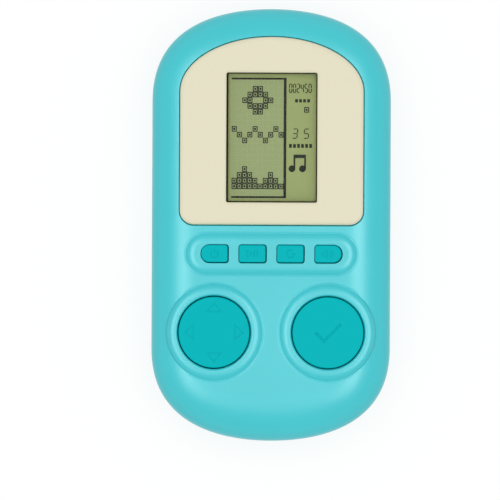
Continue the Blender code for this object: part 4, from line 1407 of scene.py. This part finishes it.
def key_marks(name):
    """Plain signs for the four keys, as paths in millimetres from the key's middle."""
    if name == "power_key":
        return [(arc(0, -0.1, 1.15, 130, 410, 20), False), ([(0, 0.2), (0, 1.4)], False)]
    if name == "pause_key":
        bars = [([(x, -1.0), (x, 1.0)], False) for x in (0.6, 1.5)]
        return [([(-1.7, -1.0), (-0.1, 0.0), (-1.7, 1.0)], True)] + bars
    if name == "restart_key":
        return [(arc(0, 0, 1.15, 60, 360, 22), False), ([(0.55, -0.1), (1.15, 0.1), (1.75, -0.1)], False)]
    cone = [(-1.9, -0.45), (-1.2, -0.45), (-0.4, -1.1), (-0.4, 1.1), (-1.2, 0.45), (-1.9, 0.45)]
    return [(cone, True)] + [(arc(-0.4, 0, radius, -40, 40, 8), False) for radius in (1.0, 1.8)]


def press(piece, marks, x, y, z, radius):
    """Presses marks, paths in millimetres round x, y, into the top of a piece."""
    for path, closed in marks:
        cutter = Skin()
        groove(cutter, np.array(path, float) * MM + (x, y), z, radius, closed)
        cut(piece, cutter.object("mark"))


def key_cap(sizes, index, name):
    """A key: rounded top edge, straight sides, flange under the case, and its pressed sign."""
    skin = Skin()
    rims = [key_outline(index, -inset) for inset in edge_insets(sizes.key_edge, 5)]
    rim = rims[0]
    flange = key_outline(index, key_flange)

    def height(xy):
        return key_top - rounded_edge(distance_to(rim, xy), sizes.key_edge, sizes.key_edge)

    top = skin.sheet(rims, within(rim, []), height)
    rows = [top[0], skin.loop(rim, key_flange_top)]
    rows += [skin.loop(flange, key_flange_top), skin.loop(flange, key_flange_under)]
    skin.bands(rows)
    skin.faces.append(tuple(rows[-1]))
    key = skin.object(name)
    marks = key_marks(key_names[index])
    press(key, marks, key_places[index], key_row, key_top + 0.25 * sizes.mark_width, sizes.mark_width)
    return settle(key, name)


def disc_cap(sizes, name, x, flange_top, flange_under, post):
    """A disc: rounded rim, skirt, flange and centre post."""
    rim = corner(disc_radius, disc_top, sizes.disc_edge, sizes.disc_edge, 6)
    inner = disc_radius - disc_skin
    roof = disc_top - disc_skin
    profile = [(0.0, disc_top), *rim, (disc_radius, flange_top), (flange_radius, flange_top)]
    profile += [(flange_radius, flange_under), (inner, flange_under), (inner, roof), (post_radius, roof)]
    skin = Skin()
    skin.turned(profile + post, x, disc_row)
    return skin.object(name)


def direction_cap(sizes):
    """The rocking disc with four arrow marks, four pins and a ball-ended post."""
    turns = np.radians((0, 30, 60))
    ball = [(pivot_radius * math.cos(turn), tilt_axis - pivot_radius * math.sin(turn)) for turn in turns]
    post = [(post_radius, tilt_axis + pivot_radius), *ball, (0.0, tilt_axis - pivot_radius)]
    disc = disc_cap(sizes, "direction_cap", -disc_x, tilt_flange_top, tilt_flange_under, post)
    ring = arc(-disc_x, disc_row, pin_circle, 0, 270, 3)
    roof = disc_top - disc_skin / 2
    pin = [(0.0, roof), (pin_radius, roof), (pin_radius, tilt_flange_under), (0.0, tilt_flange_under)]
    add(disc, rods("direction_pins", pin, ring, 24))
    marks = []
    for quarter in range(4):
        turn = quarter * math.pi / 2
        turned_by = np.array([(math.cos(turn), math.sin(turn)), (-math.sin(turn), math.cos(turn))])
        marks.append((np.array(arrow_mark) @ turned_by, True))
    press(disc, marks, -disc_x, disc_row, disc_top + 0.25 * sizes.disc_mark_width, sizes.disc_mark_width)
    return settle(disc, "direction_cap")


def action_cap(sizes):
    """The push disc with a plain tick."""
    post = [(post_radius, key_flange_under), (0.0, key_flange_under)]
    disc = disc_cap(sizes, "action_cap", disc_x, key_flange_top, key_flange_under, post)
    press(disc, [(tick_mark, False)], disc_x, disc_row, disc_top + tick_lift, tick_radius)
    return settle(disc, "action_cap")


class GAME_OT_keys(bpy.types.Operator):
    """Builds the four function keys and the two discs"""
    bl_idname = "game.keys"
    bl_label = "Keys and discs"

    def execute(self, context):
        sizes = context.scene.game_sizes
        # Deeper teal ABS with a finer grain than the case: matt top faces, crisp edges.
        colours = context.scene.game_colours
        material = moulded_plastic(
            "moulded_key_abs", colours.keys, roughness=0.55, grain=0.3 * MM, depth=0.002 * MM, specular=0.03
        )
        for index, node in enumerate(key_names):
            cap = key_cap(sizes, index, node.replace("key", "cap"))
            dress(cap, node, "key_plastic", material, node)
        dress(direction_cap(sizes), "direction_disc", "key_plastic", material, "direction_disc")
        dress(action_cap(sizes), "action_disc", "key_plastic", material, "action_disc")
        return {'FINISHED'}


# Rubber mats

def mat_web(name, rim, domes):
    """The sheet of a rubber mat, with a hole where each dome stands."""
    skin = Skin()
    holes = [circle(x, y, dome_base + mat_fit, 32) for x, y in domes]
    loops = [rim] + holes
    top = skin.sheet(loops, within(rim, holes), level(mat_top))
    under = skin.sheet(loops, within(rim, holes), level(mat_under))
    for upper, lower in zip(top, under):
        skin.band(upper, lower)
    return skin.object(name)


def mat_dome(name, x, y, crown, opening):
    """A hollow rubber dome that stands on the board; a contact that rocks passes through its open crown."""
    inside_top = crown - dome_skin
    profile = [
        (opening, crown), (dome_crown, crown), (dome_base, mat_top), (dome_base, mat_under),
        (dome_base - dome_skin, mat_under), (dome_crown - dome_skin, inside_top), (opening, inside_top),
    ]
    skin = Skin()
    turn = skin.ring if opening else skin.turned
    turn(profile, x, y, 32)
    return skin.object(name)


def mat_plan():
    """Each mat, its outline and its domes: name, place, top, opening, joint and the share that it leaves."""
    key_crown = key_flange_under - dome_gap
    tilt_crown = tilt_flange_under - dome_gap
    strip_height = 2 * (dome_base + mat_margin)
    strip_width = (key_count - 1) * key_pitch + strip_height
    strip = rounded_box(0.0, key_row, strip_width, strip_height, mat_corner, mat_corner)
    keys = [
        (name.replace("key", "dome"), x, key_row, key_crown, 0.0, name + "_press", pressed_share)
        for name, x in zip(key_names, key_places)
    ]
    ways = [("right", "left_right"), ("up", "up_down"), ("left", "left_right"), ("down", "up_down")]
    quarters = [
        (way + "_dome", x, y, tilt_crown, dome_opening, "direction_" + pair + "_tilt", tilted_share)
        for (way, pair), (x, y) in zip(ways, arc(-disc_x, disc_row, pin_circle, 0, 270, 3))
    ]
    push = [("action_dome", disc_x, disc_row, key_crown, 0.0, "action_disc_press", pressed_share)]
    round_mat = disc_radius + mat_margin
    return [
        ("function_key_mat", strip, keys),
        ("direction_mat", circle(-disc_x, disc_row, round_mat, 64), quarters),
        ("action_mat", circle(disc_x, disc_row, round_mat, 64), push),
    ]


class GAME_OT_mats(bpy.types.Operator):
    """Builds the rubber mats and their domes"""
    bl_idname = "game.mats"
    bl_label = "Rubber mats"

    def execute(self, context):
        # Pressed silicone: pale grey, soft and matt, a little cloudy.
        rubber = plain_finish(
            "pressed_silicone_mat", "#D9DCDA", roughness=0.6, metallic=0.0, grain=0.6 * MM, share=0.04
        )
        for node, rim, domes in mat_plan():
            places = [(x, y) for _, x, y, *_ in domes]
            dress(mat_web(node + "_web", rim, places), "case", "mat_rubber", rubber, node)
            for name, x, y, crown, opening, joint, share in domes:
                dome = dress(mat_dome(name, x, y, crown, opening), "case", "mat_rubber", rubber)
                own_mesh(dome)
        return {'FINISHED'}


# Case rear

def tab_boxes(low, high, inner, outer, before, after):
    """A box at every door tab, reaching before and after its middle along y."""
    corners = []
    for row in door_tab_rows:
        corners.append(((inner, row - before, low), (outer, row + after, high)))
        corners.append(((-outer, row - before, low), (-inner, row + after, high)))
    return corners


def tab_cutters():
    """Room for the door's tabs: the pockets that they slide in and the openings they leave by."""
    half = door_tab_length / 2 + gap
    low = door_top - door_tab_thickness - gap
    inner = door_half - overlap
    outer = door_half + door_tab + gap
    before = half + door_travel
    pockets = tab_boxes(low, slot_top, inner, outer, before, half)
    exits = tab_boxes(-overlap, slot_top - seat, inner, outer, before, half - door_travel)
    return boxes("tab_pocket", pockets), boxes("tab_exit", exits)


def rear_bay():
    """Walls and roof of the battery bay and the ledge over the door."""
    side = bay_half + bay_wall
    lower = bay_bottom - bay_wall
    ledge = door_half + ledge_width
    block = boxes("bay_block", [((-side, lower, wall - gap), (side, bay_top + bay_wall, roof_top))])
    low = (-ledge, lower - ledge_width, wall - gap)
    high = (ledge, door_upper + ledge_width, slot_top + ledge_thickness)
    return add(block, boxes("bay_ledge", [(low, high)]))


def sounder_seat():
    """Ring wall with an inner ledge that carries the sounder."""
    outer = sounder_radius + gap + sounder_wall
    inner = sounder_radius + gap
    rest = sounder_radius - sounder_wall
    ledge = wall + sounder_ledge
    high = ledge + 3 * sounder_thickness
    skin = Skin()
    low = wall - gap
    profile = [(inner, high), (outer, high), (outer, low), (rest, low), (rest, ledge), (inner, ledge)]
    skin.ring(profile, 0.0, sounder_row)
    return skin.object("sounder_seat")


def flared_rod(name, places, radius, low, high, flare):
    """Cutters whose lower end opens by a flare, so that the mouth of the hole is rounded."""
    mouth = corner(radius, low, -flare, -flare, 3)
    profile = [(0.0, low - overlap), (radius + flare, low - overlap), *mouth, (radius, high), (0.0, high)]
    return rods(name, profile, places, 40)


def plain_rod(name, places, radius, low, high, steps=40):
    return rods(name, [(0.0, low), (radius, low), (radius, high), (0.0, high)], places, steps)


def grille_places():
    return [(0.0, sounder_row), *arc(0.0, sounder_row, grille_circle, 0, 360, grille_count)[:-1]]


def rear_layer(name, sizes, depth, rings=edge_rings):
    """The form of the rear shell shrunk by a depth and closed by its mirror image."""
    return slab(name, depth, 2 * parting - depth, depth, sizes.rear_edge - depth, rear_drop - depth, rings)


def rear_shell(sizes):
    """The hollow shell with its lip, battery bay, sounder seat and screw bosses."""
    shell = rear_layer("rear_case", sizes, 0.0)
    inner_drop = parting - wall - side_band / 2
    inner = slab("rear_inside", wall, 2 * parting - wall, wall, sizes.rear_edge - wall, inner_drop, 8)
    upper = boxes("rear_upper", [((-reach, -reach, parting - gap / 2), (reach, reach, reach))])
    cut(shell, inner, upper)
    lip = slab("case_lip", parting - overlap, parting + lip_height, wall - lip_thickness)
    cut(lip, slab("lip_inside", parting - 2 * overlap, parting + 2 * lip_height, wall))
    bosses = plain_rod("rear_boss", boss_places, rear_boss_radius, wall - gap, parting - gap / 2)
    keep(bosses, rear_layer("rear_limit", sizes, wall / 2, 8))
    return add(shell, lip, rear_bay(), sounder_seat(), bosses)


def rear_case(sizes):
    """The rear shell with its screw wells, door slot, contact slots and sounder holes cut."""
    shell = rear_shell(sizes)
    cut(shell, flared_rod("screw_well", boss_places, well_radius, 0.0, well_depth, well_flare))
    hole_low = well_depth - overlap
    cut(shell, plain_rod("screw_hole", boss_places, screw_radius + gap, hole_low, parting + overlap, 24))
    slot_half = door_half + gap
    end_lower = bay_bottom - bay_wall - ledge_width - overlap
    bay = ((-bay_half, bay_bottom, slot_top - overlap), (bay_half, bay_top, roof_under))
    slot = ((-slot_half, -reach, -overlap), (slot_half, door_upper + gap, slot_top))
    end = ((-slot_half, -reach, -2 * overlap), (slot_half, end_lower, door_end_height + gap))
    cut(shell, boxes("bay_inside", [bay]), boxes("door_slot", [slot]), boxes("door_end", [end]))
    cut(shell, *tab_cutters())
    tab = contact_tab_width / 2 + gap
    low = battery_axis + contact_tab_height - gap
    high = low + contact_tab_height + 2 * gap
    slots = [
        ((x - tab, bay_top - overlap, low), (x + tab, bay_top + bay_wall + overlap, high))
        for x in (-battery_x, battery_x)
    ]
    cut(shell, boxes("contact_slot", slots))
    cut(shell, flared_rod("grille", grille_places(), grille_radius, 0.0, wall + overlap, grille_flare))
    return settle(shell, "rear_case")


def grip_grooves():
    """Round grooves across the door for the thumb."""
    skin = Skin()
    radius = grip_radius
    half = grip_length / 2
    turns = np.linspace(0.0, math.pi / 2, 7)[1:]
    end = [(radius * math.sin(turn), half + radius * math.cos(turn)) for turn in turns]
    profile = [(0.0, half + radius), *end, *[(r, -z) for r, z in end[::-1]], (0.0, -half - radius)]
    for index in range(grip_count):
        row = bay_bottom + (index + grip_start) * grip_pitch
        start = len(skin.points)
        skin.turned(profile, 0.0, 0.0, 24)
        skin.points[start:] = [(z, row + x, door_lift - radius / 4 + y) for x, y, z in skin.points[start:]]
    return skin.object("grip_grooves")


def door_skin(sizes):
    """The battery door: a piece of the rear skin with tabs and thumb grooves."""
    door = rear_layer("door", sizes, door_lift)
    cut(door, rear_layer("door_inside", sizes, door_top))
    window = ((-door_half, -reach, -overlap), (door_half, door_upper, door_end_height))
    keep(door, boxes("door_window", [window]))
    soft = door.modifiers.new("soft_edges", 'BEVEL')
    soft.width = door_soft
    soft.segments = 2
    soft.limit_method = 'ANGLE'
    soft.angle_limit = math.radians(50)
    half = door_tab_length / 2
    low = door_top - door_tab_thickness
    high = door_top - door_tab_drop
    add(door, boxes("door_tabs", tab_boxes(low, high, door_half - overlap, door_half + door_tab, half, half)))
    cut(door, grip_grooves())
    return settle(door, "door_skin")


class GAME_OT_rear_case(bpy.types.Operator):
    """Builds the rear shell and the battery door"""
    bl_idname = "game.rear_case"
    bl_label = "Rear case and battery door"

    def execute(self, context):
        sizes = context.scene.game_sizes
        colours = context.scene.game_colours
        # The rear has the case colour with a deeper grain and less gloss, which hides scuffs.
        material = moulded_plastic(
            "moulded_rear_abs", colours.case, roughness=0.42, grain=0.35 * MM, depth=0.008 * MM
        )
        dress(rear_case(sizes), "case", "case_plastic", material, "rear_shell")
        dress(door_skin(sizes), "battery_door", "case_plastic", material, "battery_door")
        return {'FINISHED'}


# Fasteners, springs and cells

def lifted(tree, geometry, z):
    up = add_node(tree, 'ShaderNodeCombineXYZ', {"Z": z}).outputs[0]
    return add_node(tree, 'GeometryNodeTransform', {"Geometry": geometry, "Translation": up}).outputs[0]


def screw_tree():
    """A pan-head screw with a cross slot on every point, head outwards along -Z."""
    tree, given = new_tree("case_screws", {
        "Head Radius": 'Float', "Head Height": 'Float', "Crown Radius": 'Float', "Crown Height": 'Float',
        "Shaft Radius": 'Float', "Shaft Length": 'Float', "Slot": 'Vector', "Slot Across": 'Vector',
        "Material": 'Material',
    })
    head = add_node(tree, 'GeometryNodeMeshCylinder', {
        "Vertices": 40, "Radius": given["Head Radius"], "Depth": given["Head Height"],
    }).outputs["Mesh"]
    crown = add_node(tree, 'GeometryNodeMeshCone', {
        "Vertices": 40, "Radius Top": given["Head Radius"], "Radius Bottom": given["Crown Radius"],
        "Depth": given["Crown Height"],
    }).outputs["Mesh"]
    shaft = add_node(tree, 'GeometryNodeMeshCylinder', {
        "Vertices": 24, "Radius": given["Shaft Radius"], "Depth": given["Shaft Length"],
    }).outputs["Mesh"]
    head_z = maths(tree, 'ADD', maths(tree, 'MULTIPLY', given["Head Height"], 0.5), given["Crown Height"])
    shaft_z = maths(tree, 'ADD', maths(tree, 'MULTIPLY', given["Shaft Length"], 0.5), head_z)
    whole = boolean(tree, 'UNION', None, lifted(tree, head, head_z), crown, lifted(tree, shaft, shaft_z))
    slotted = boolean(tree, 'DIFFERENCE', whole, cube(tree, given["Slot"]), cube(tree, given["Slot Across"]))
    return close_tree(tree, given, slotted)


def spring_tree():
    """A cone spring: a spiral swept by the wire's section, laid along y."""
    tree, given = new_tree("cone_spring", {
        "Turns": 'Float', "Wide": 'Float', "Narrow": 'Float', "Length": 'Float', "Wire": 'Float',
        "Lay": 'Vector', "Material": 'Material',
    })
    spiral = add_node(tree, 'GeometryNodeCurveSpiral', {
        "Resolution": 32, "Rotations": given["Turns"], "Start Radius": given["Wide"],
        "End Radius": given["Narrow"], "Height": given["Length"],
    })
    section = add_node(tree, 'GeometryNodeCurvePrimitiveCircle', {"Resolution": 12, "Radius": given["Wire"]})
    wire = add_node(tree, 'GeometryNodeCurveToMesh', {
        "Curve": spiral.outputs[0], "Profile Curve": section.outputs[0], "Fill Caps": True,
    })
    laid = add_node(tree, 'GeometryNodeTransform', {"Geometry": wire.outputs[0], "Rotation": given["Lay"]})
    return close_tree(tree, given, laid.outputs[0])


def case_screws(material):
    crown = screw_head_height / 3
    arm = 1.2 * screw_head_radius
    head_low = well_depth - seat - screw_head_height
    shaft_length = parting + screw_reach - head_low - crown - (screw_head_height - crown) / 2
    values = {
        "Head Radius": screw_head_radius, "Head Height": screw_head_height - crown,
        "Crown Radius": screw_head_radius - crown, "Crown Height": crown,
        "Shaft Radius": screw_radius, "Shaft Length": shaft_length, "Material": material,
        "Slot": (arm, cross_width, cross_depth), "Slot Across": (cross_width, arm, cross_depth),
    }
    points = [(x, y, head_low) for x, y in boss_places]
    return run_tree("case_screw_set", points, screw_tree(), values)


def contact_springs(material):
    wide = contact_width / 2 - 2 * spring_wire
    run = spring_length - 2 * spring_wire - 2 * seat
    upper = bay_top - gap - contact_thickness - spring_wire - seat
    lower = bay_bottom + gap + contact_thickness + spring_wire + seat
    tree = spring_tree()
    values = {
        "Turns": float(spring_turns), "Wide": wide, "Narrow": wide / 2, "Length": run, "Wire": spring_wire,
        "Material": material,
    }
    springs = (("negative", battery_x, upper, math.pi / 2), ("bridge", -battery_x, lower, -math.pi / 2))
    pieces = []
    for name, x, y, lay in springs:
        values["Lay"] = (lay, 0.0, 0.0)
        pieces.append((run_tree(name + "_coil", [(x, y, battery_axis)], tree, values), name + "_spring"))
    return pieces


class GAME_OT_fasteners(bpy.types.Operator):
    """Builds the case screws and the two contact springs"""
    bl_idname = "game.fasteners"
    bl_label = "Screws and springs"

    def execute(self, context):
        # Zinc-plated steel: grey, with a satin sheen from the tumbling.
        screw_steel = plain_finish(
            "zinc_plated_screw_steel", "#B9BCC0", roughness=0.35, metallic=1.0, grain=0.5 * MM, share=0.06
        )
        nodes = ["case_screw_" + str(index + 1) for index in range(len(boss_places))]
        dress(case_screws(screw_steel), "case", "screw_steel", screw_steel, *nodes)
        # Nickel-plated spring wire: brighter and smoother than the screws.
        spring_steel = plain_finish(
            "nickel_plated_spring_wire", "#CFCBC4", roughness=0.25, metallic=1.0, grain=0.4 * MM, share=0.04
        )
        for piece, node in contact_springs(spring_steel):
            dress(piece, "case", "contact_steel", spring_steel, node)
        return {'FINISHED'}


def cell(name, x, points_up):
    """A round cell lying along y: jacket, crimped steel ends and nub."""
    body = battery_length - battery_nub
    top = corner(battery_radius, body, battery_edge, battery_edge, 4)
    foot = corner(battery_radius, 0.0, battery_edge, -battery_edge, 4)
    nub = [
        (battery_nub_radius - battery_nub_edge, battery_length),
        (battery_nub_radius, battery_length - battery_nub_edge), (battery_nub_radius, body),
    ]
    skin = Skin()
    skin.turned([(0.0, battery_length), *nub, *top, *foot[::-1], (0.0, 0.0)], 0.0, 0.0, 64)
    end = contact_thickness + 2 * gap
    start = bay_top - end - battery_length if points_up else bay_bottom + end + battery_length
    way = 1 if points_up else -1
    skin.points = [(x + px, start + way * pz, battery_axis - way * py) for px, py, pz in skin.points]
    return skin.object(name)


def face_is_end(face, x):
    """True for the steel ends and the nub of a cell."""
    along = abs(face.normal.y) > 0.5
    in_line = abs(face.center.x - x) < battery_nub_radius * 0.99
    across = math.hypot(face.center.x - x, face.center.z - battery_axis)
    return (along or in_line) and across < battery_radius - battery_rim


class GAME_OT_cells(bpy.types.Operator):
    """Builds the two cells"""
    bl_idname = "game.cells"
    bl_label = "Cells"

    def execute(self, context):
        # Shrink-wrapped jacket: smooth dark film with a soft sheen; bare steel at the ends.
        jacket = plain_finish(
            "shrink_film_jacket", "#3B4654", roughness=0.35, metallic=0.0, grain=3.0 * MM, share=0.08
        )
        steel = plain_finish(
            "nickel_plated_cell_end", "#C9C7C2", roughness=0.3, metallic=1.0, grain=0.5 * MM, share=0.05
        )
        for side, x, points_up in (("left", -battery_x, True), ("right", battery_x, False)):
            piece = cell(side + "_cell", x, points_up)
            dress(piece, "case", "battery_jacket", jacket, side + "_battery")
            piece.data.materials.append(steel)
            for face in piece.data.polygons:
                face.material_index = int(face_is_end(face, x))
        return {'FINISHED'}


# Pieces inside, which keep the shape of their solids

contact_keys = ("power", "pause", "restart", "sound", "up", "down", "left", "right", "action")
contact_nodes = tuple(key + "_contact" for key in contact_keys)
spring_plates = ("positive_contact", "negative_contact", "bridge_contact")
board_screws = tuple("board_screw_" + str(index) for index in range(1, 5))
inner_finishes = (
    # name, nodes, colour, roughness, metallic, grain, share of colour change
    ("etched_float_glass", ("front_glass", "rear_glass"), "#AEB79A", 0.2, 0.0, 4.0 * MM, 0.03),
    ("brushed_reflector_film", ("screen_reflector",), "#C8CCB8", 0.4, 0.6, 0.4 * MM, 0.05),
    ("moulded_screen_frame", ("screen_frame",), "#E9E9E4", 0.5, 0.0, 0.3 * MM, 0.03),
    ("layered_zebra_rubber", ("upper_zebra_strip", "lower_zebra_strip"), "#C98F9B", 0.7, 0.0, 0.2 * MM, 0.12),
    ("carbon_contact_pill", contact_nodes, "#202022", 0.75, 0.0, 0.2 * MM, 0.2),
    ("solder_masked_laminate", ("main_board",), "#1F6B3C", 0.35, 0.0, 1.5 * MM, 0.1),
    ("poured_epoxy_cap", ("chip_epoxy_cap",), "#141416", 0.25, 0.0, 1.0 * MM, 0.15),
    ("capacitor_sleeve_film", ("supply_capacitor",), "#27345E", 0.35, 0.0, 1.0 * MM, 0.08),
    ("lacquered_resistor", ("clock_resistor", "sounder_resistor"), "#C9A66B", 0.45, 0.0, 0.5 * MM, 0.1),
    ("rolled_sounder_brass", ("sounder_plate",), "#C9A24B", 0.35, 1.0, 0.3 * MM, 0.06),
    ("silvered_ceramic", ("sounder_ceramic",), "#DAD8CF", 0.5, 0.0, 0.4 * MM, 0.05),
    ("stamped_contact_steel", spring_plates, "#C7C5BF", 0.3, 1.0, 0.5 * MM, 0.05),
    ("small_screw_steel", board_screws, "#B4B6B9", 0.35, 1.0, 0.4 * MM, 0.06),
    ("red_wire_sleeve", ("positive_wire", "sounder_wire_ceramic"), "#B3261E", 0.45, 0.0, 0.8 * MM, 0.08),
    ("black_wire_sleeve", ("negative_wire", "sounder_wire_plate"), "#1B1B1D", 0.45, 0.0, 0.8 * MM, 0.15),
)


class GAME_OT_inside(bpy.types.Operator):
    """Gives the pieces inside the case their finishes"""
    bl_idname = "game.inside"
    bl_label = "Pieces inside"

    def execute(self, context):
        for name, nodes, code, roughness, metallic, grain, share in inner_finishes:
            material = plain_finish(name, code, roughness, metallic, grain, share)
            for node in nodes:
                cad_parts[node].material_slots[0].material = material
        return {'FINISHED'}


# Stage

def softbox(name, place, width, run, power):
    """A lamp that faces the game, its long side along y."""
    lamp = bpy.data.lights.new(name, 'AREA')
    lamp.shape = 'RECTANGLE'
    lamp.size = run
    lamp.size_y = width
    lamp.energy = power
    item = new_item(name, lamp)
    item.location = place
    item.rotation_mode = 'QUATERNION'
    item.rotation_quaternion = (Vector(lamp_target) - item.location).to_track_quat('-Z', 'Y')
    return item


def make_camera(stage):
    """Looks straight down, a little off the middle and turned by a hair, as the photo was taken."""
    camera = bpy.data.cameras.new("camera")
    camera.lens = stage.lens
    camera.sensor_width = 36.0
    camera.clip_start = 0.01
    camera.clip_end = 20.0
    item = new_item("camera", camera)
    item.location = (camera_x, camera_y, stage.camera_height)
    item.rotation_euler = (0.0, 0.0, camera_roll)
    bpy.context.scene.camera = item


def make_floor(colours):
    """Pale paper, seen only from above, that shades nothing and lends the game no colour."""
    mesh = bpy.data.meshes.new("floor")
    sides = ((-1, -1), (1, -1), (1, 1), (-1, 1))
    mesh.from_pydata([(x * floor_half, y * floor_half, -floor_gap) for x, y in sides], [], [(0, 1, 2, 3)])
    floor = new_item("floor", mesh)
    floor.visible_diffuse = False
    floor.visible_shadow = False
    material = bpy.data.materials.new("floor_paper")
    material.use_nodes = True
    tree = material.node_tree
    tree.nodes.clear()
    shade = (*[floor_shade * channel for channel in colours.floor], 1.0)
    paper = add_node(tree, 'ShaderNodeBsdfDiffuse', {"Color": shade})
    glow = add_node(tree, 'ShaderNodeEmission', {"Color": white, "Strength": floor_glow})
    both = add_node(tree, 'ShaderNodeAddShader', {0: paper.outputs[0], 1: glow.outputs[0]})
    clear = add_node(tree, 'ShaderNodeBsdfTransparent')
    back = add_node(tree, 'ShaderNodeNewGeometry').outputs["Backfacing"]
    one_sided = add_node(tree, 'ShaderNodeMixShader', {0: back, 1: both.outputs[0], 2: clear.outputs[0]})
    add_node(tree, 'ShaderNodeOutputMaterial', {"Surface": one_sided.outputs[0]})
    mesh.materials.append(material)


def make_world(stage):
    """Even light on matt faces, a brighter room in gloss, plain white to the camera and through glass."""
    world = bpy.data.worlds.new("room")
    world.use_nodes = True
    bpy.context.scene.world = world
    tree = world.node_tree
    tree.nodes.clear()
    path = add_node(tree, 'ShaderNodeLightPath')
    seen = maths(tree, 'MAXIMUM', path.outputs["Is Camera Ray"], path.outputs["Is Transmission Ray"])
    unseen = add_node(tree, 'ShaderNodeMapRange', {
        "Value": path.outputs["Is Glossy Ray"], "To Min": stage.room_light, "To Max": stage.room_gloss,
    }).outputs["Result"]
    strength = add_node(tree, 'ShaderNodeMapRange', {"Value": seen, "To Min": unseen, "To Max": 1.0})
    light = add_node(tree, 'ShaderNodeBackground', {"Color": white, "Strength": strength.outputs["Result"]})
    add_node(tree, 'ShaderNodeOutputWorld', {"Surface": light.outputs[0]})


class GAME_OT_stage(bpy.types.Operator):
    """Sets up the camera, the floor and the studio light"""
    bl_idname = "game.stage"
    bl_label = "Stage"

    def execute(self, context):
        stage = context.scene.game_stage
        context.scene.view_settings.view_transform = 'Standard'
        make_camera(stage)
        make_floor(context.scene.game_colours)
        make_world(stage)
        softbox("top_softbox", (0.0, 0.0, top_height), top_side, top_side, stage.top_power)
        for side in (-1, 1):
            place = (side * strip_x, 0.0, strip_height)
            strip = softbox("strip_light", place, strip_width, strip_length, stage.lamp_power)
            strip.visible_diffuse = False
        return {'FINISHED'}


class GAME_PT_pieces(bpy.types.Panel):
    """Lists the steps that build the game"""
    bl_idname = "GAME_PT_pieces"
    bl_label = "Handheld LCD game"
    bl_space_type = 'VIEW_3D'
    bl_region_type = 'UI'
    bl_category = "Game"

    def draw(self, context):
        for operator in operators:
            self.layout.operator(operator.bl_idname)


groups = {"game_sizes": GameSizes, "game_colours": GameColours, "game_stage": GameStage}
operators = (
    GAME_OT_front_case,
    GAME_OT_panel,
    GAME_OT_display,
    GAME_OT_keys,
    GAME_OT_mats,
    GAME_OT_rear_case,
    GAME_OT_fasteners,
    GAME_OT_cells,
    GAME_OT_inside,
    GAME_OT_stage,
)


def register():
    for group in (*groups.values(), *operators, GAME_PT_pieces):
        bpy.utils.register_class(group)
    for name, group in groups.items():
        setattr(bpy.types.Scene, name, PointerProperty(type=group))


def unregister():
    for name in groups:
        delattr(bpy.types.Scene, name)
    for group in reversed((*groups.values(), *operators, GAME_PT_pieces)):
        bpy.utils.unregister_class(group)


def main():
    register()
    for operator in operators:
        family, step = operator.bl_idname.split(".")
        getattr(getattr(bpy.ops, family), step)()
    bpy.context.view_layer.update()


if __name__ == "__main__":
    main()
